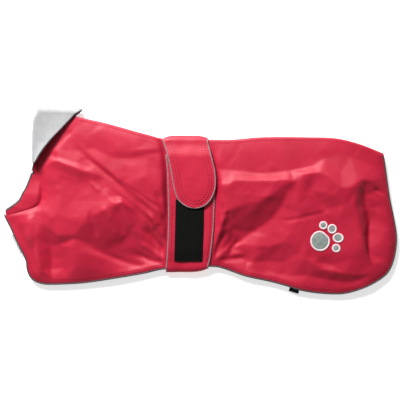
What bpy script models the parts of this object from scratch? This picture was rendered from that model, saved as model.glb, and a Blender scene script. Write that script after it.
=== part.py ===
"""Dog coat, laid flat on its side and folded along the spine.

The coat lies on z = 0 with its neck at -X, its tail end at +X, the fold
along the spine at +Y and the two hems, one on the other, at -Y.  Lengths
below are in millimetres; mesh points are turned into metres when a piece
is made.
"""

import math

import bmesh
import bpy
import numpy as np
from mathutils import Vector

MM = 0.001

# ---------------------------------------------------------------- cloth ----
WALL = 1.6            # coated nylon with its lining, body panels
COLLAR_PLY = 1.0      # one layer of the collar
BELT_PLY = 2.0        # belt, two layers and an interlining
GAP = 0.3             # clearance between pieces that touch
EDGE_GAP = 0.6        # clearance between a curved panel edge and its piping
TOUCH = 0.1           # smallest clearance between curved pieces
BINDING_RADIUS = 1.25
BELT_BINDING_RADIUS = 1.0

# --------------------------------------------------------------- levels ----
FLOOR_LEVEL = 0.1     # lowest point of what rests on the floor beside the belt
MID_LEVEL = 5.4       # where the two halves meet at the spine
SPINE_REACH = 22.0    # the level runs in from the spine over about this
NECK_REACH = 16.0     # from the neckline
HEM_REACH = 15.0      # from the hem
FOLD_CALM = (0.8, 14.0, 12.0, 14.0)   # folds calm down: share, from edge, seam and spine
REAR_TOP = (10.0, 60.0)   # the rear edge's corner at the spine: reach, and x where it is full
HEM_LEVEL = 5.8       # top of the upper half along its hem
BODY_LEVEL = 15.0     # top of the upper half away from its edges
SPINE_LEVEL = 10.4    # top of the upper half beside the spine
NECK_LEVEL = 9.8      # top of the upper half at the neckline
BELT_LEVEL = 9.6      # top of the upper half pressed by the belt
BELT_HEM_LEVEL = 7.8  # the same at the hem
ROLL = 5.0            # width of the rounded fold along the spine
ROLL_ANGLES = (90, 76, 42)
ROLL_GAP = 0.5        # half the slit where the two halves meet at the spine
NECK_BLEND = -90.0    # columns bend to the neck edge left of this x
TAIL_BLEND = 170.0    # and to the rear edge right of this x
UPPER_COLUMNS = np.concatenate([np.linspace(-150, -54, 10), np.linspace(-43, 27, 7)[:-1],
                                np.linspace(27, 215, 19)])
LOWER_COLUMNS = np.concatenate([np.linspace(-150, -70, 5), [-54, -33, -13, 7, 27, 42],
                                np.linspace(60, 215, 9)])
# Rows down each half, from 0 at the spine to 1 at the hem.
UPPER_ROWS = np.array([0, 0.05, 0.1, 0.15, 0.2, 0.25, 0.3, 0.35, 0.4, 0.45, 0.506, 0.556,
                       0.588, 0.611, 0.65, 0.695, 0.74, 0.785, 0.83, 0.875, 0.92, 0.96, 1])
LOWER_ROWS = np.array([0, 0.09, 0.18, 0.28, 0.38, 0.506, 0.556, 0.588, 0.611, 0.68, 0.75,
                       0.81, 0.85, 0.89, 0.95, 1])

# ------------------------------------------------------------- outlines ----
# Edge of the upper half with its binding, from the throat along the chest,
# the hem and the rear edge to the spine: x, y.
EDGE = (
    (-265.0, -15.5), (-262.0, -23.0), (-255.3, -35.5), (-249.4, -48.5),
    (-243.0, -62.0), (-237.0, -73.5), (-233.8, -82.0), (-233.2, -90.0),
    (-231.0, -98.0), (-225.5, -106.0), (-216.0, -111.0), (-200.0, -113.0),
    (-155.0, -110.8), (-106.5, -103.5), (-74.4, -98.0), (-50.0, -92.6),
    (-15.0, -89.6), (18.0, -88.8), (34.0, -92.0), (62.0, -101.8),
    (94.5, -108.9), (118.6, -115.4), (137.0, -121.0), (158.8, -124.6),
    (182.9, -126.0), (199.0, -124.6), (215.0, -120.0), (231.2, -113.2),
    (247.2, -103.6), (256.2, -94.0), (262.2, -80.0), (265.6, -62.0),
    (266.0, -46.0), (262.8, -25.5), (257.2, 1.3), (254.2, 21.4),
    (251.5, 41.5), (247.6, 64.5),
)
CHEST_CORNER = 9      # row of EDGE where the chest edge turns into the hem
REAR_CORNER = 28      # row of EDGE where the hem turns into the rear edge

# Fold along the spine, from the neckline to the tail end: x, y.
SPINE = (
    (-189.6, 118.2), (-172.0, 115.0), (-154.8, 111.2), (-130.7, 105.9),
    (-106.5, 99.4), (-82.4, 92.6), (-66.3, 88.4), (-49.0, 84.0),
    (-15.0, 83.2), (14.0, 82.8), (34.0, 82.2), (54.3, 83.3), (78.4, 85.6),
    (110.0, 86.2), (150.0, 85.8), (175.0, 85.2), (191.0, 83.2),
    (207.0, 79.2), (223.1, 73.9), (239.2, 67.2), (247.6, 63.8),
)

# Collar, one row a station from the spine to the throat.  seam is the
# neckline, turn the edge where the collar is turned over, free its piped
# edge, and over is 1 where it is turned right down and 0 where it stands open.
COLLAR = (
    # seam_x, seam_y, turn_x, turn_y, free_x, free_y, over
    (-189.6, 113.2, -217.2, 119.4, -168.0, 116.6, 1.0),
    (-192.3, 104.0, -221.6, 110.5, -176.4, 107.2, 1.0),
    (-197.0, 92.5, -223.2, 98.0, -186.2, 96.4, 1.0),
    (-201.7, 79.0, -223.6, 86.0, -195.8, 86.0, 1.0),
    (-205.7, 68.3, -223.7, 74.5, -204.8, 75.2, 1.0),
    (-209.0, 57.6, -223.7, 62.5, -213.0, 63.4, 1.0),
    (-210.4, 50.8, -223.7, 54.4, -218.0, 54.4, 1.0),
    (-210.8, 47.6, -223.6, 50.8, -220.0, 50.8, 0.84),
    (-211.2, 44.8, -223.5, 47.6, -220.8, 47.6, 0.66),
    (-211.7, 39.8, -223.8, 42.2, -221.0, 42.2, 0.33),
    (-212.2, 34.0, -220.6, 35.6, -225.9, 36.6, 0.0),
    (-212.4, 25.0, -221.0, 26.8, -228.0, 28.0, 0.0),
    (-212.4, 13.4, -224.0, 15.6, -232.2, 17.0, 0.0),
    (-212.8, 4.0, -227.0, 6.6, -236.8, 8.4, 0.0),
    (-217.4, -6.2, -231.0, -3.2, -241.6, -0.6, 0.0),
    (-238.0, -13.6, -246.0, -11.2, -252.6, -9.4, 0.0),
    (-259.6, -18.4, -260.6, -16.6, -261.4, -15.0, 0.0),
)
STAND_POINTS = 3      # points across the collar from neckline to turn
TURN_POINTS = 5       # points round the turn
FALL_POINTS = 4       # points from the turn to the free edge
TURN_WIDTH = 3.0      # width of the rounded turn
TURN_RISE = 5.2       # height of the upper collar's turn
OPEN_RISE = 0.4       # rise of the open collar from neckline to free edge
COLLAR_MID = 6.4      # where the collar's two halves meet at the spine
COLLAR_LIFT = 2 * COLLAR_PLY + 4.5 * GAP   # lower half over the turned collar
LIFT_ACROSS = (12.0, 34.0)   # fades over these distances from the free edge
LIFT_DOWN = (8.0, 40.0)      # and between these y
TUCK_LIFT = (44.0, 9.0, 1.1)   # lower collar where its free edge comes out from under: y, radius, rise
TUCK_LEAF = 0.5       # its reach past the turn there
COLLAR_ANGLES = (72, 40)
COLLAR_ROLL = 6.4     # width of the collar's rounded fold along the spine
TIP_SHEAR = 9.0       # the collar's free edge runs to a point at the spine
SEAM_GAP = 2.2        # between the collar and the neckline of the body

# Belt edges with their binding: x, y.  The tongue runs from the spine round
# its tip and back, the others from the spine side to the hem side.
TONGUE_EDGE = (
    (-49.0, 79.0), (-46.0, 70.0), (-42.0, 55.7), (-39.2, 41.9), (-36.5, 26.8),
    (-34.2, 15.0), (-31.8, 7.0), (-28.4, 0.6), (-23.2, -4.4), (-16.0, -8.6),
    (-7.0, -10.4), (1.0, -9.4), (8.4, -6.0), (14.4, 0.0), (18.6, 7.0),
    (21.4, 16.0), (22.4, 26.8), (20.9, 41.9), (17.6, 55.7), (14.0, 70.0),
    (11.6, 79.0),
)
BASE_LEFT = ((-45.6, 62.0), (-43.3, 42.0), (-42.4, 14.0), (-41.9, -16.5),
             (-42.4, -47.3), (-44.0, -78.0), (-45.2, -87.0))
BASE_RIGHT = ((14.0, 62.0), (18.0, 42.0), (20.4, 14.0), (20.6, 2.0),
              (19.4, -31.9), (17.0, -59.6), (14.6, -78.0), (12.0, -87.0))
UNDER_LEFT = ((-45.2, -87.0), (-46.0, 0.0), (-49.0, 79.0))
UNDER_RIGHT = ((12.0, -87.0), (17.0, 0.0), (11.6, 79.0))
BELT_SPINE = 79.0     # y where the belt starts to turn round the spine
BELT_HEM = -87.0      # y where it starts to turn round the hem
BELT_TOP = 88.0       # y of the belt round the spine
BELT_BOTTOM = -96.4   # y of the belt round the hem
BELT_TURN_STEPS = 5
BELT_SLIT = 17.0      # angle left open at each end of a turn, in degrees
BELT_COLUMNS = 5
TAPE_LEFT = ((-31.8, 2.0), (-32.8, -40.0), (-33.9, -82.0))
TAPE_RIGHT = ((6.4, 2.0), (5.4, -40.0), (3.8, -80.0))
TAPE_PLY = 1.0
BELT_LEFT = -54.0     # bed that the belt presses into the coat
BELT_RIGHT = 27.0
BED_FADE = 17.0       # the coat rises over this width beside the bed
BED_SLOPE = (-88.0, -62.0)   # y over which the bed rises from the hem
UNDER_FADE = 14.0     # the lower half comes down over this width beside the belt

# Folds of the upper half, as ridges (rise > 0) and troughs (rise < 0): ends
# of the crest line, bow of its middle to the left of its run, rise, and the
# fall-off width on the left and on the right of its run.
FOLDS = (
    # x0, y0, x1, y1, bow, rise, left, right
    (-133.0, 56.0, -53.0, -15.0, 0.0, 4.5, 26.0, 8.0),    # long front ridge
    (-166.0, 67.0, -50.0, -28.0, 0.0, -3.2, 5.0, 6.0),    # crease below it
    (-209.0, 50.0, -124.0, 22.0, 4.0, 3.6, 11.0, 20.0),   # shoulder band
    (-112.0, 12.0, -55.0, -40.0, 0.0, 2.8, 6.0, 6.0),     # beside the crease
    (-152.0, -20.0, -98.0, -6.0, 9.0, 4.6, 18.0, 10.0),   # chest hump
    (-168.0, -42.0, -146.0, -20.0, 0.0, 3.2, 12.0, 7.0),
    (-147.0, -21.0, -112.0, -43.0, 0.0, 2.8, 7.0, 7.0),
    (-207.0, -66.0, -118.0, -90.0, 5.0, 4.4, 17.0, 13.0),  # above the hem
    (-158.0, -52.0, -88.0, -86.0, 0.0, 2.4, 6.0, 6.0),
    (-213.0, -42.0, -208.0, -106.0, 0.0, -4.0, 8.0, 7.0),  # chest trough
    (-236.0, -10.0, -223.0, -54.0, 0.0, 2.4, 9.0, 8.0),
    (-120.0, -46.0, -58.0, -82.0, 0.0, 2.8, 7.0, 7.0),
    (20.0, 28.0, 164.0, 38.0, -5.0, 4.6, 9.0, 17.0),       # rear shelf
    (166.0, 22.0, 236.0, 24.0, 4.0, 4.4, 24.0, 17.0),
    (128.0, 24.0, 42.0, -62.0, -4.0, -4.0, 9.0, 13.0),     # rear valley
    (136.0, 2.0, 60.0, -56.0, 0.0, 3.2, 18.0, 10.0),
    (142.0, 32.0, 174.0, -16.0, 6.0, 3.0, 11.0, 11.0),
    (128.0, 28.0, 164.0, -12.0, 0.0, -2.6, 6.0, 6.0),
    (217.0, 28.0, 232.0, -90.0, -5.0, -5.0, 9.0, 9.0),     # tail trough
    (203.0, 16.0, 204.0, -66.0, 0.0, 2.4, 12.0, 12.0),
    (246.0, -6.0, 250.0, -72.0, 0.0, 2.6, 9.0, 9.0),
    (184.0, -92.0, 240.0, -94.0, -3.0, 2.8, 9.0, 9.0),
    (84.0, -66.0, 134.0, -96.0, 0.0, -2.4, 10.0, 10.0),
    (40.0, -14.0, 36.0, -60.0, 0.0, -2.4, 6.0, 6.0),       # beside the belt
)
FOLD_DEPTH = 1.4      # all rises are scaled by this
FOLD_FADE = 0.22      # share of a fold's length over which each end dies

# Reflective paw on the rear flank: x, y, radius along x, radius along y.
PAW = (
    ("paw_pad", 161.4, -53.6, 13.2, 13.6),
    ("paw_toe_1", 165.6, -32.6, 5.6, 5.5),
    ("paw_toe_2", 177.4, -37.4, 6.2, 6.5),
    ("paw_toe_3", 185.4, -49.4, 7.3, 6.5),
    ("paw_toe_4", 182.8, -63.2, 5.7, 5.7),
)
PAW_CALM = (171.0, -48.0, 30.0)   # round place that stays smooth: x, y, radius
PAW_SHARE = 0.85      # share of the folds taken away there
PAW_PLY = 0.5
PAW_SIDES = 14

LABEL_AT = (129.0, -116.3)
LABEL_SIZE = (13.4, 15.0, 0.4)
LABEL_TURN = math.radians(-17.0)
LABEL_LEVEL = 3.1

# Pale closure tape that shows past the chest edge: its outer edge.
CHEST_TAPE = ((-252.4, -45.0), (-248.2, -54.0), (-243.6, -63.0), (-239.6, -71.0))
CHEST_TAPE_WIDTH = 12.0
CHEST_TAPE_PLY = 0.4
CHEST_TAPE_LEVEL = 2.9

LOWER_INSET = 1.8     # the lower half's edge lies inside the upper half's
LOWER_SLIVER = (-3.1, 1.8)   # its collar shows past the upper one by this much in x and y

# Places where the upper hem is lifted off the lower one: x, y, rise, radius.
HEM_LIFTS = (
    (129.0, -118.0, 1.4, 24.0), (-246.0, -58.0, 1.4, 24.0), (-110.0, -104.0, 1.2, 26.0),
    (226.0, -116.0, 1.6, 20.0), (258.0, 0.0, 1.0, 26.0), (66.0, -103.0, 1.2, 20.0),
)


# ---------------------------------------------------------------- curves ----
def smooth(points, step):
    """Points about `step` apart on a smooth curve through the given rows."""
    points = np.array(points, float)
    ends = np.vstack([2 * points[0] - points[1], points, 2 * points[-1] - points[-2]])
    dense = []
    for a, b, c, d in zip(ends, ends[1:], ends[2:], ends[3:]):
        for t in np.linspace(0, 1, 12, endpoint=False):
            dense.append(0.5 * (2 * b + (c - a) * t + (2 * a - 5 * b + 4 * c - d) * t ** 2
                                + (3 * b - a - 3 * c + d) * t ** 3))
    dense = np.array(dense + [points[-1]])
    run = np.concatenate([[0], np.cumsum(np.linalg.norm(np.diff(dense, axis=0), axis=1))])
    count = max(2, round(run[-1] / step) + 1)
    where = np.linspace(0, run[-1], count)
    return np.stack([np.interp(where, run, dense[:, k]) for k in range(dense.shape[1])], axis=1)


def inset(points, distance):
    """The plan curve moved to the left of its run."""
    tangent = np.gradient(points[:, :2], axis=0)
    tangent /= np.linalg.norm(tangent, axis=1, keepdims=True)
    moved = points.copy()
    moved[:, 0] -= tangent[:, 1] * distance
    moved[:, 1] += tangent[:, 0] * distance
    return moved


def ease(value, start, end):
    """0 before `start`, 1 after `end`, with a smooth change between."""
    t = np.clip((value - start) / (end - start), 0, 1)
    return t * t * (3 - 2 * t)


def distance_to(curve, x, y):
    """Distance in plan from each point to the curve."""
    best = np.full(np.shape(x), 1e9)
    for (ax, ay), (bx, by) in zip(curve[:-1, :2], curve[1:, :2]):
        dx, dy = bx - ax, by - ay
        t = np.clip(((x - ax) * dx + (y - ay) * dy) / (dx * dx + dy * dy), 0, 1)
        best = np.minimum(best, np.hypot(x - ax - t * dx, y - ay - t * dy))
    return best


EDGE_CURVE = smooth(EDGE, 6.0)
SPINE_CURVE = smooth(SPINE, 6.0)
SEAM_CURVE = smooth([row[0:2] for row in COLLAR], 6.0)
FREE_CURVE = smooth([row[4:6] for row in COLLAR[:7]], 6.0)


def spine_y(x):
    return np.interp(x, SPINE_CURVE[:, 0], SPINE_CURVE[:, 1])


# --------------------------------------------------------------- heights ----
def fold_height(x, y, fold):
    """One ridge or trough over the plan."""
    x0, y0, x1, y1, bow, rise, left, right = fold
    length = math.hypot(x1 - x0, y1 - y0)
    ux, uy = (x1 - x0) / length, (y1 - y0) / length
    along = ((x - x0) * ux + (y - y0) * uy) / length
    across = (y - y0) * ux - (x - x0) * uy
    middle = np.clip(along, 0, 1)
    across = across - bow * 4 * middle * (1 - middle)
    width = np.where(across > 0, left, right)
    ends = ease(along, -0.5 * FOLD_FADE, FOLD_FADE) * ease(1 - along, -0.5 * FOLD_FADE, FOLD_FADE)
    return FOLD_DEPTH * rise * ends * np.exp(-(across / width) ** 2)


def bed_level(y):
    """Top of the upper half where the belt presses on it."""
    return BELT_HEM_LEVEL + (BELT_LEVEL - BELT_HEM_LEVEL) * ease(y, *BED_SLOPE)


def belt_share(x):
    """1 under the belt, 0 clear of it."""
    return ease(x, BELT_LEFT - BED_FADE, BELT_LEFT) * (1 - ease(x, BELT_RIGHT, BELT_RIGHT + BED_FADE))


def upper_height(x, y):
    """Top of the upper half over the plan."""
    to_edge = distance_to(EDGE_CURVE, x, y)
    to_seam = distance_to(SEAM_CURVE, x, y)
    to_spine = np.maximum(spine_y(x) - y, 0)
    level = BODY_LEVEL + (SPINE_LEVEL - BODY_LEVEL) * np.exp(-to_spine / SPINE_REACH)
    level = level + (NECK_LEVEL - level) * np.exp(-to_seam / NECK_REACH)
    folds = sum(fold_height(x, y, fold) for fold in FOLDS)
    px, py, radius = PAW_CALM
    calm = 1 - PAW_SHARE * np.exp(-(((x - px) ** 2 + (y - py) ** 2) / radius ** 2) ** 2)
    share, from_edge, from_seam, from_spine = FOLD_CALM
    quiet = (1 - share * np.exp(-to_edge / from_edge)) * (1 - share * np.exp(-to_seam / from_seam))
    quiet = quiet * (1 - np.exp(-to_spine / from_spine)) * calm
    level = level + folds * quiet
    hem = HEM_LEVEL + sum(rise * np.exp(-((x - hx) ** 2 + (y - hy) ** 2) / radius ** 2)
                          for hx, hy, rise, radius in HEM_LIFTS)
    hem = hem + (SPINE_LEVEL - hem) * np.exp(-to_spine / REAR_TOP[0]) * ease(x, 0, REAR_TOP[1])
    level = hem + (level - hem) * (1 - np.exp(-to_edge / HEM_REACH))
    bed = belt_share(x)
    return level * (1 - bed) + bed_level(y) * bed


def lower_lift(x, y):
    """Underside of the lower half, raised by what lies beneath it."""
    belt = ease(x, BELT_LEFT - UNDER_FADE, BELT_LEFT)
    belt = belt * (1 - ease(x, BELT_RIGHT, BELT_RIGHT + UNDER_FADE))
    free_x, free_y = FREE_CURVE[0]
    low_x, low_y = FREE_CURVE[-1]
    length = math.hypot(low_x - free_x, low_y - free_y)
    beyond = ((y - free_y) * (low_x - free_x) - (x - free_x) * (low_y - free_y)) / length
    collar = (1 - ease(beyond, *LIFT_ACROSS)) * ease(y, *LIFT_DOWN)
    return (BELT_PLY + GAP + TOUCH) * belt + COLLAR_LIFT * collar


# ---------------------------------------------------------------- meshes ----
def new_object(name, mesh, material):
    piece = bpy.data.objects.new(name, mesh)
    piece.data.materials.append(material)
    bpy.data.collections["dog_coat"].objects.link(piece)
    return piece


def sheet(name, grid, thickness, side, material):
    """An open grid of points with Solidify.

    grid is rows x columns x 3 in millimetres.  side is +1 to thicken along
    the grid's normals and -1 against them.
    """
    rows, columns = grid.shape[:2]
    points = (grid.reshape(-1, 3) * MM).tolist()
    faces = []
    for i in range(rows - 1):
        for j in range(columns - 1):
            a = i * columns + j
            faces.append((a, a + columns, a + columns + 1, a + 1))
    mesh = bpy.data.meshes.new(name)
    mesh.from_pydata(points, [], faces)
    mesh.shade_smooth()
    piece = new_object(name, mesh, material)
    shell = piece.modifiers.new("wall", "SOLIDIFY")
    shell.thickness = thickness * MM
    shell.offset = side
    shell.use_rim = True
    return piece


def normals(grid):
    """Unit normals of a grid of points."""
    down = np.gradient(grid, axis=0)
    along = np.gradient(grid, axis=1)
    normal = np.cross(down, along)
    return normal / np.linalg.norm(normal, axis=2, keepdims=True)


def tube(name, points, radius, material):
    """A piping cord: a curve with a round bevel and filled caps."""
    curve = bpy.data.curves.new(name, "CURVE")
    curve.dimensions = "3D"
    curve.bevel_depth = radius * MM
    curve.bevel_resolution = 1
    curve.use_fill_caps = True
    spline = curve.splines.new("POLY")
    spline.points.add(len(points) - 1)
    for point, place in zip(spline.points, points):
        point.co = (place[0] * MM, place[1] * MM, place[2] * MM, 1)
    return new_object(name, curve, material)


def cloth(name, colour, roughness):
    material = bpy.data.materials.new(name)
    material.use_nodes = True
    shader = material.node_tree.nodes["Principled BSDF"]
    shader.inputs["Base Color"].default_value = (*colour, 1)
    shader.inputs["Roughness"].default_value = roughness
    material.diffuse_color = (*colour, 1)
    return material


# ------------------------------------------------------------------ body ----
def body_plan(edge, fans, straight, down):
    """Plan points of one half inside `edge`, rows from spine to hem.

    straight holds the x of the columns that run straight across the coat.
    The others fan out to the neck and the tail, fans[0] and fans[1] of them.
    down holds the row places from 0 at the spine to 1 at the hem.
    """
    chest_end = np.argmin(np.hypot(*(edge - EDGE[CHEST_CORNER]).T))
    rear_end = np.argmin(np.hypot(*(edge - EDGE[REAR_CORNER]).T))
    hem = edge[chest_end:rear_end + 1]
    rear = edge[rear_end:][::-1]
    left = np.vstack([SEAM_CURVE, edge[:chest_end + 1][1:]])
    top_x, low_x = (np.concatenate([np.linspace(start, straight[0], fans[0], endpoint=False),
                                    straight,
                                    np.linspace(straight[-1], end, fans[1] + 1)[1:]])
                    for start, end in ((SPINE[0][0], rear[0, 0]), (hem[0, 0], hem[-1, 0])))
    top_y = spine_y(top_x) - ROLL
    low_y = np.interp(low_x, hem[:, 0], hem[:, 1])
    v = down[:, None]
    x = (1 - v) * top_x + v * low_x
    y = (1 - v) * top_y + v * low_y
    left_x = np.interp(-y[:, 0], -left[:, 1], left[:, 0])
    rear_x = np.interp(-y[:, -1], -rear[:, 1], rear[:, 0])
    near_left = np.clip((NECK_BLEND - low_x) / (NECK_BLEND - low_x[0]), 0, 1) ** 2
    near_rear = np.clip((low_x - TAIL_BLEND) / (low_x[-1] - TAIL_BLEND), 0, 1) ** 2
    x = x + (left_x - x[:, 0])[:, None] * near_left + (rear_x - x[:, -1])[:, None] * near_rear
    return x, y


def rolled(x, y, z, angles, middle, width, shear=0.0):
    """The grid with rows round the fold at the spine put before it."""
    rows = []
    for angle in np.radians(angles):
        rows.append(np.stack([x[0] + shear * math.sin(angle), y[0] + width * math.sin(angle),
                              middle + (z[0] - middle) * math.cos(angle)], axis=-1))
    return np.concatenate([np.array(rows), np.stack([x, y, z], axis=-1)])


def upper_body(material):
    edge = inset(EDGE_CURVE, 2 * BINDING_RADIUS + EDGE_GAP)
    x, y = body_plan(edge, (6, 4), UPPER_COLUMNS, UPPER_ROWS)
    grid = rolled(x, y, upper_height(x, y), ROLL_ANGLES, MID_LEVEL + ROLL_GAP, ROLL)
    return sheet("body_upper", grid, WALL, -1, material)


def lower_body(material):
    edge = inset(EDGE_CURVE, 2 * BINDING_RADIUS + EDGE_GAP + LOWER_INSET)
    x, y = body_plan(edge, (5, 4), LOWER_COLUMNS, LOWER_ROWS)
    grid = rolled(x, y, lower_lift(x, y), ROLL_ANGLES, MID_LEVEL - ROLL_GAP, ROLL)
    return sheet("body_lower", grid, WALL, 1, material)


# ---------------------------------------------------------------- collar ----
def collar_station(row, seam, stand_level, fall_level, free_level, clear, leaf=None):
    """Points across the collar at one station, from neckline to free edge.

    leaf is the reach past the turn where the collar is neither turned down
    nor open.
    """
    turn = np.array(row[2:4])
    free = np.array(row[4:6])
    over = row[6]
    count = STAND_POINTS + TURN_POINTS + FALL_POINTS
    if over == 0:
        t = np.linspace(0, 1, count)[:, None]
        return np.hstack([seam + (free - seam) * t, stand_level + (clear - stand_level) * t])
    outward = (turn - seam) / np.linalg.norm(turn - seam)
    centre = turn - outward * TURN_WIDTH
    rise = (fall_level - stand_level) / 2
    points = [(*(seam + (centre - seam) * i / STAND_POINTS), stand_level)
              for i in range(STAND_POINTS)]
    for i in range(TURN_POINTS):
        angle = math.pi * over * i / (TURN_POINTS - 1)
        plan = centre + outward * TURN_WIDTH * math.sin(angle)
        points.append((*plan, stand_level + rise * (1 - math.cos(angle))))
    start = np.array(points[-1])
    if over == 1:
        end = np.array([*free, free_level])
    else:
        reach = leaf or np.linalg.norm(free - turn)
        lean = math.pi * over
        end = start + reach * np.array([*(outward * math.cos(lean)),
                                        math.sin(lean) * np.sign(rise)])
    for i in range(1, FALL_POINTS + 1):
        points.append(tuple(start + (end - start) * i / FALL_POINTS))
    return np.array(points)


def collar_grid(upper):
    """Surface between the collar's two layers, rows from spine to throat."""
    stations = []
    seams = inset(np.array([row[0:2] for row in COLLAR]), -SEAM_GAP)
    for index, row in enumerate(COLLAR):
        half_ply = COLLAR_PLY + GAP / 2
        if upper:
            stand = float(upper_height(*np.array(row[0:2])[:, None])[0]) - half_ply
            free = float(upper_height(*np.array(row[4:6])[:, None])[0]) + half_ply + 3 * GAP
            stations.append(collar_station(row, seams[index], stand, stand + TURN_RISE, free,
                                           stand + OPEN_RISE))
        else:
            row = list(row)
            if row[6] == 0.0 and index < len(COLLAR) - 1:
                row[4] += LOWER_SLIVER[0]
                row[5] += LOWER_SLIVER[1]
            tuck_y, radius, rise = TUCK_LIFT
            stand = float(lower_lift(*np.array(row[0:2])[:, None])[0]) + half_ply + TOUCH
            stand += rise * math.exp(-((row[1] - tuck_y) / radius) ** 2)
            low = half_ply + 2 * TOUCH
            stations.append(collar_station(row, seams[index], stand, low, low, low, TUCK_LEAF))
    grid = np.array(stations)
    share = np.abs(grid[0, :, 2] - COLLAR_MID)
    share = share / share.max()
    along = np.linspace(0, 1, grid.shape[1])
    shear = TIP_SHEAR * ease(along, 0.55, 1.0)
    return rolled(grid[:, :, 0], grid[:, :, 1], grid[:, :, 2], COLLAR_ANGLES, COLLAR_MID,
                  COLLAR_ROLL * share, shear)


def collar_half(half, upper, outer, lining):
    """The red outer layer and the grey lining of one half of the collar."""
    grid = collar_grid(upper)
    normal = normals(grid)
    side = 1 if upper else -1
    sheet("collar_" + half, grid - side * normal * GAP / 2, COLLAR_PLY, -side, outer)
    sheet("collar_lining_" + half, grid + side * normal * GAP / 2, COLLAR_PLY, side, lining)
    return grid


def collar_binding(half, grid, material):
    """Piping along the free edge, from the spine to the throat."""
    free = grid[:, -1]
    run = np.gradient(free, axis=0)
    run /= np.linalg.norm(run, axis=1, keepdims=True)
    outward = free - grid[:, -2]
    outward -= run * np.sum(outward * run, axis=1, keepdims=True)
    outward /= np.linalg.norm(outward, axis=1, keepdims=True)
    reach = BINDING_RADIUS + 1.5 * EDGE_GAP
    points = free + outward * reach
    if half == "lower":
        points[len(COLLAR_ANGLES):, 2] = BINDING_RADIUS + FLOOR_LEVEL
    drop = np.minimum(np.abs(points[:, 2] - free[:, 2]), reach)
    flat = outward[:, :2] / np.linalg.norm(outward[:, :2], axis=1, keepdims=True)
    points[:, :2] = free[:, :2] + flat * np.sqrt(reach ** 2 - drop ** 2)[:, None]
    tube("collar_binding_" + half, points[:-1], BINDING_RADIUS, material)


# ------------------------------------------------------------------ belt ----
def strap_edges(left, right, levels):
    """x of both edges of a strap, its binding left off, at each y."""
    trim = 2 * BELT_BINDING_RADIUS + GAP
    left = np.array(left)[np.argsort(np.array(left)[:, 1])]
    right = np.array(right)[np.argsort(np.array(right)[:, 1])]
    x_left = np.interp(levels, left[:, 1], left[:, 0]) + trim
    x_right = np.interp(levels, right[:, 1], right[:, 0]) - trim
    return x_left, x_right


def strap_grid(path, x_left, x_right):
    """Grid of a strap's outer surface: path rows are y, z."""
    share = np.linspace(0, 1, BELT_COLUMNS)
    x = x_left[:, None] + (x_right - x_left)[:, None] * share
    y = np.repeat(path[:, 0:1], BELT_COLUMNS, axis=1)
    z = np.repeat(path[:, 1:2], BELT_COLUMNS, axis=1)
    return np.stack([x, y, z], axis=-1)


def belt_turn(y_start, y_end, top, start_angle, end_angle):
    """Part of the belt's turn round the coat's edge, as rows of y, z."""
    angles = np.radians(np.linspace(start_angle, end_angle, BELT_TURN_STEPS + 1))
    y = y_start + (y_end - y_start) * np.cos(angles)
    z = top / 2 * (1 + np.sin(angles))
    return np.stack([y, z], axis=-1)


BASE_TOP = GAP + BELT_PLY                       # base over the bed
TONGUE_TOP = BASE_TOP + TAPE_PLY + BELT_PLY + 2 * GAP   # tongue over the bed


def tongue_level(y):
    """Top of the tongue: over the tape and base, then down to the coat."""
    drop = ease(y, 58.0, BELT_SPINE)
    return bed_level(y) + TONGUE_TOP + (BASE_TOP - TONGUE_TOP) * drop


def belt_tongue(material):
    outline = smooth(TONGUE_EDGE, 5.0)
    cloth_edge = inset(outline, 2 * BELT_BINDING_RADIUS + GAP)
    tip = np.argmin(cloth_edge[:, 1])
    left = cloth_edge[:tip + 1][::-1]
    right = cloth_edge[tip:]
    low = cloth_edge[tip, 1]
    y = low + (BELT_SPINE - low) * np.linspace(0.005, 1, 13) ** 1.6
    path = np.stack([y, tongue_level(y)], axis=-1)
    turn = belt_turn(BELT_SPINE, BELT_TOP, bed_level(BELT_SPINE) + BASE_TOP, 90, BELT_SLIT)[1:]
    x_left = np.interp(y, left[:, 1], left[:, 0])
    x_right = np.interp(y, right[:, 1], right[:, 0])
    path = np.vstack([path, turn])
    x_left = np.concatenate([x_left, np.full(len(turn), x_left[-1])])
    x_right = np.concatenate([x_right, np.full(len(turn), x_right[-1])])
    grid = strap_grid(path, x_left, x_right)
    sheet("belt_tongue", grid, BELT_PLY, 1, material)
    return outline


def belt_base(material):
    y = np.linspace(62.0, BELT_HEM, 15)
    path = np.stack([y, bed_level(y) + BASE_TOP], axis=-1)
    turn = belt_turn(BELT_HEM, BELT_BOTTOM, bed_level(BELT_HEM) + BASE_TOP, 90, BELT_SLIT)[1:]
    path = np.vstack([path, turn])
    grid = strap_grid(path, *strap_edges(BASE_LEFT, BASE_RIGHT, path[:, 0]))
    sheet("belt_base", grid, BELT_PLY, -1, material)
    return path


def belt_underside(material):
    hem_turn = belt_turn(BELT_HEM, BELT_BOTTOM, bed_level(BELT_HEM) + BASE_TOP, -BELT_SLIT, -90)
    spine_turn = belt_turn(BELT_SPINE, BELT_TOP, bed_level(BELT_SPINE) + BASE_TOP, -90, -BELT_SLIT)
    middle = np.stack([np.linspace(BELT_HEM, BELT_SPINE, 6), np.zeros(6)], axis=-1)
    path = np.vstack([hem_turn, middle[1:-1], spine_turn])
    grid = strap_grid(path, *strap_edges(UNDER_LEFT, UNDER_RIGHT, path[:, 0]))
    sheet("belt_underside", grid, BELT_PLY, -1, material)
    return path


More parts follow.
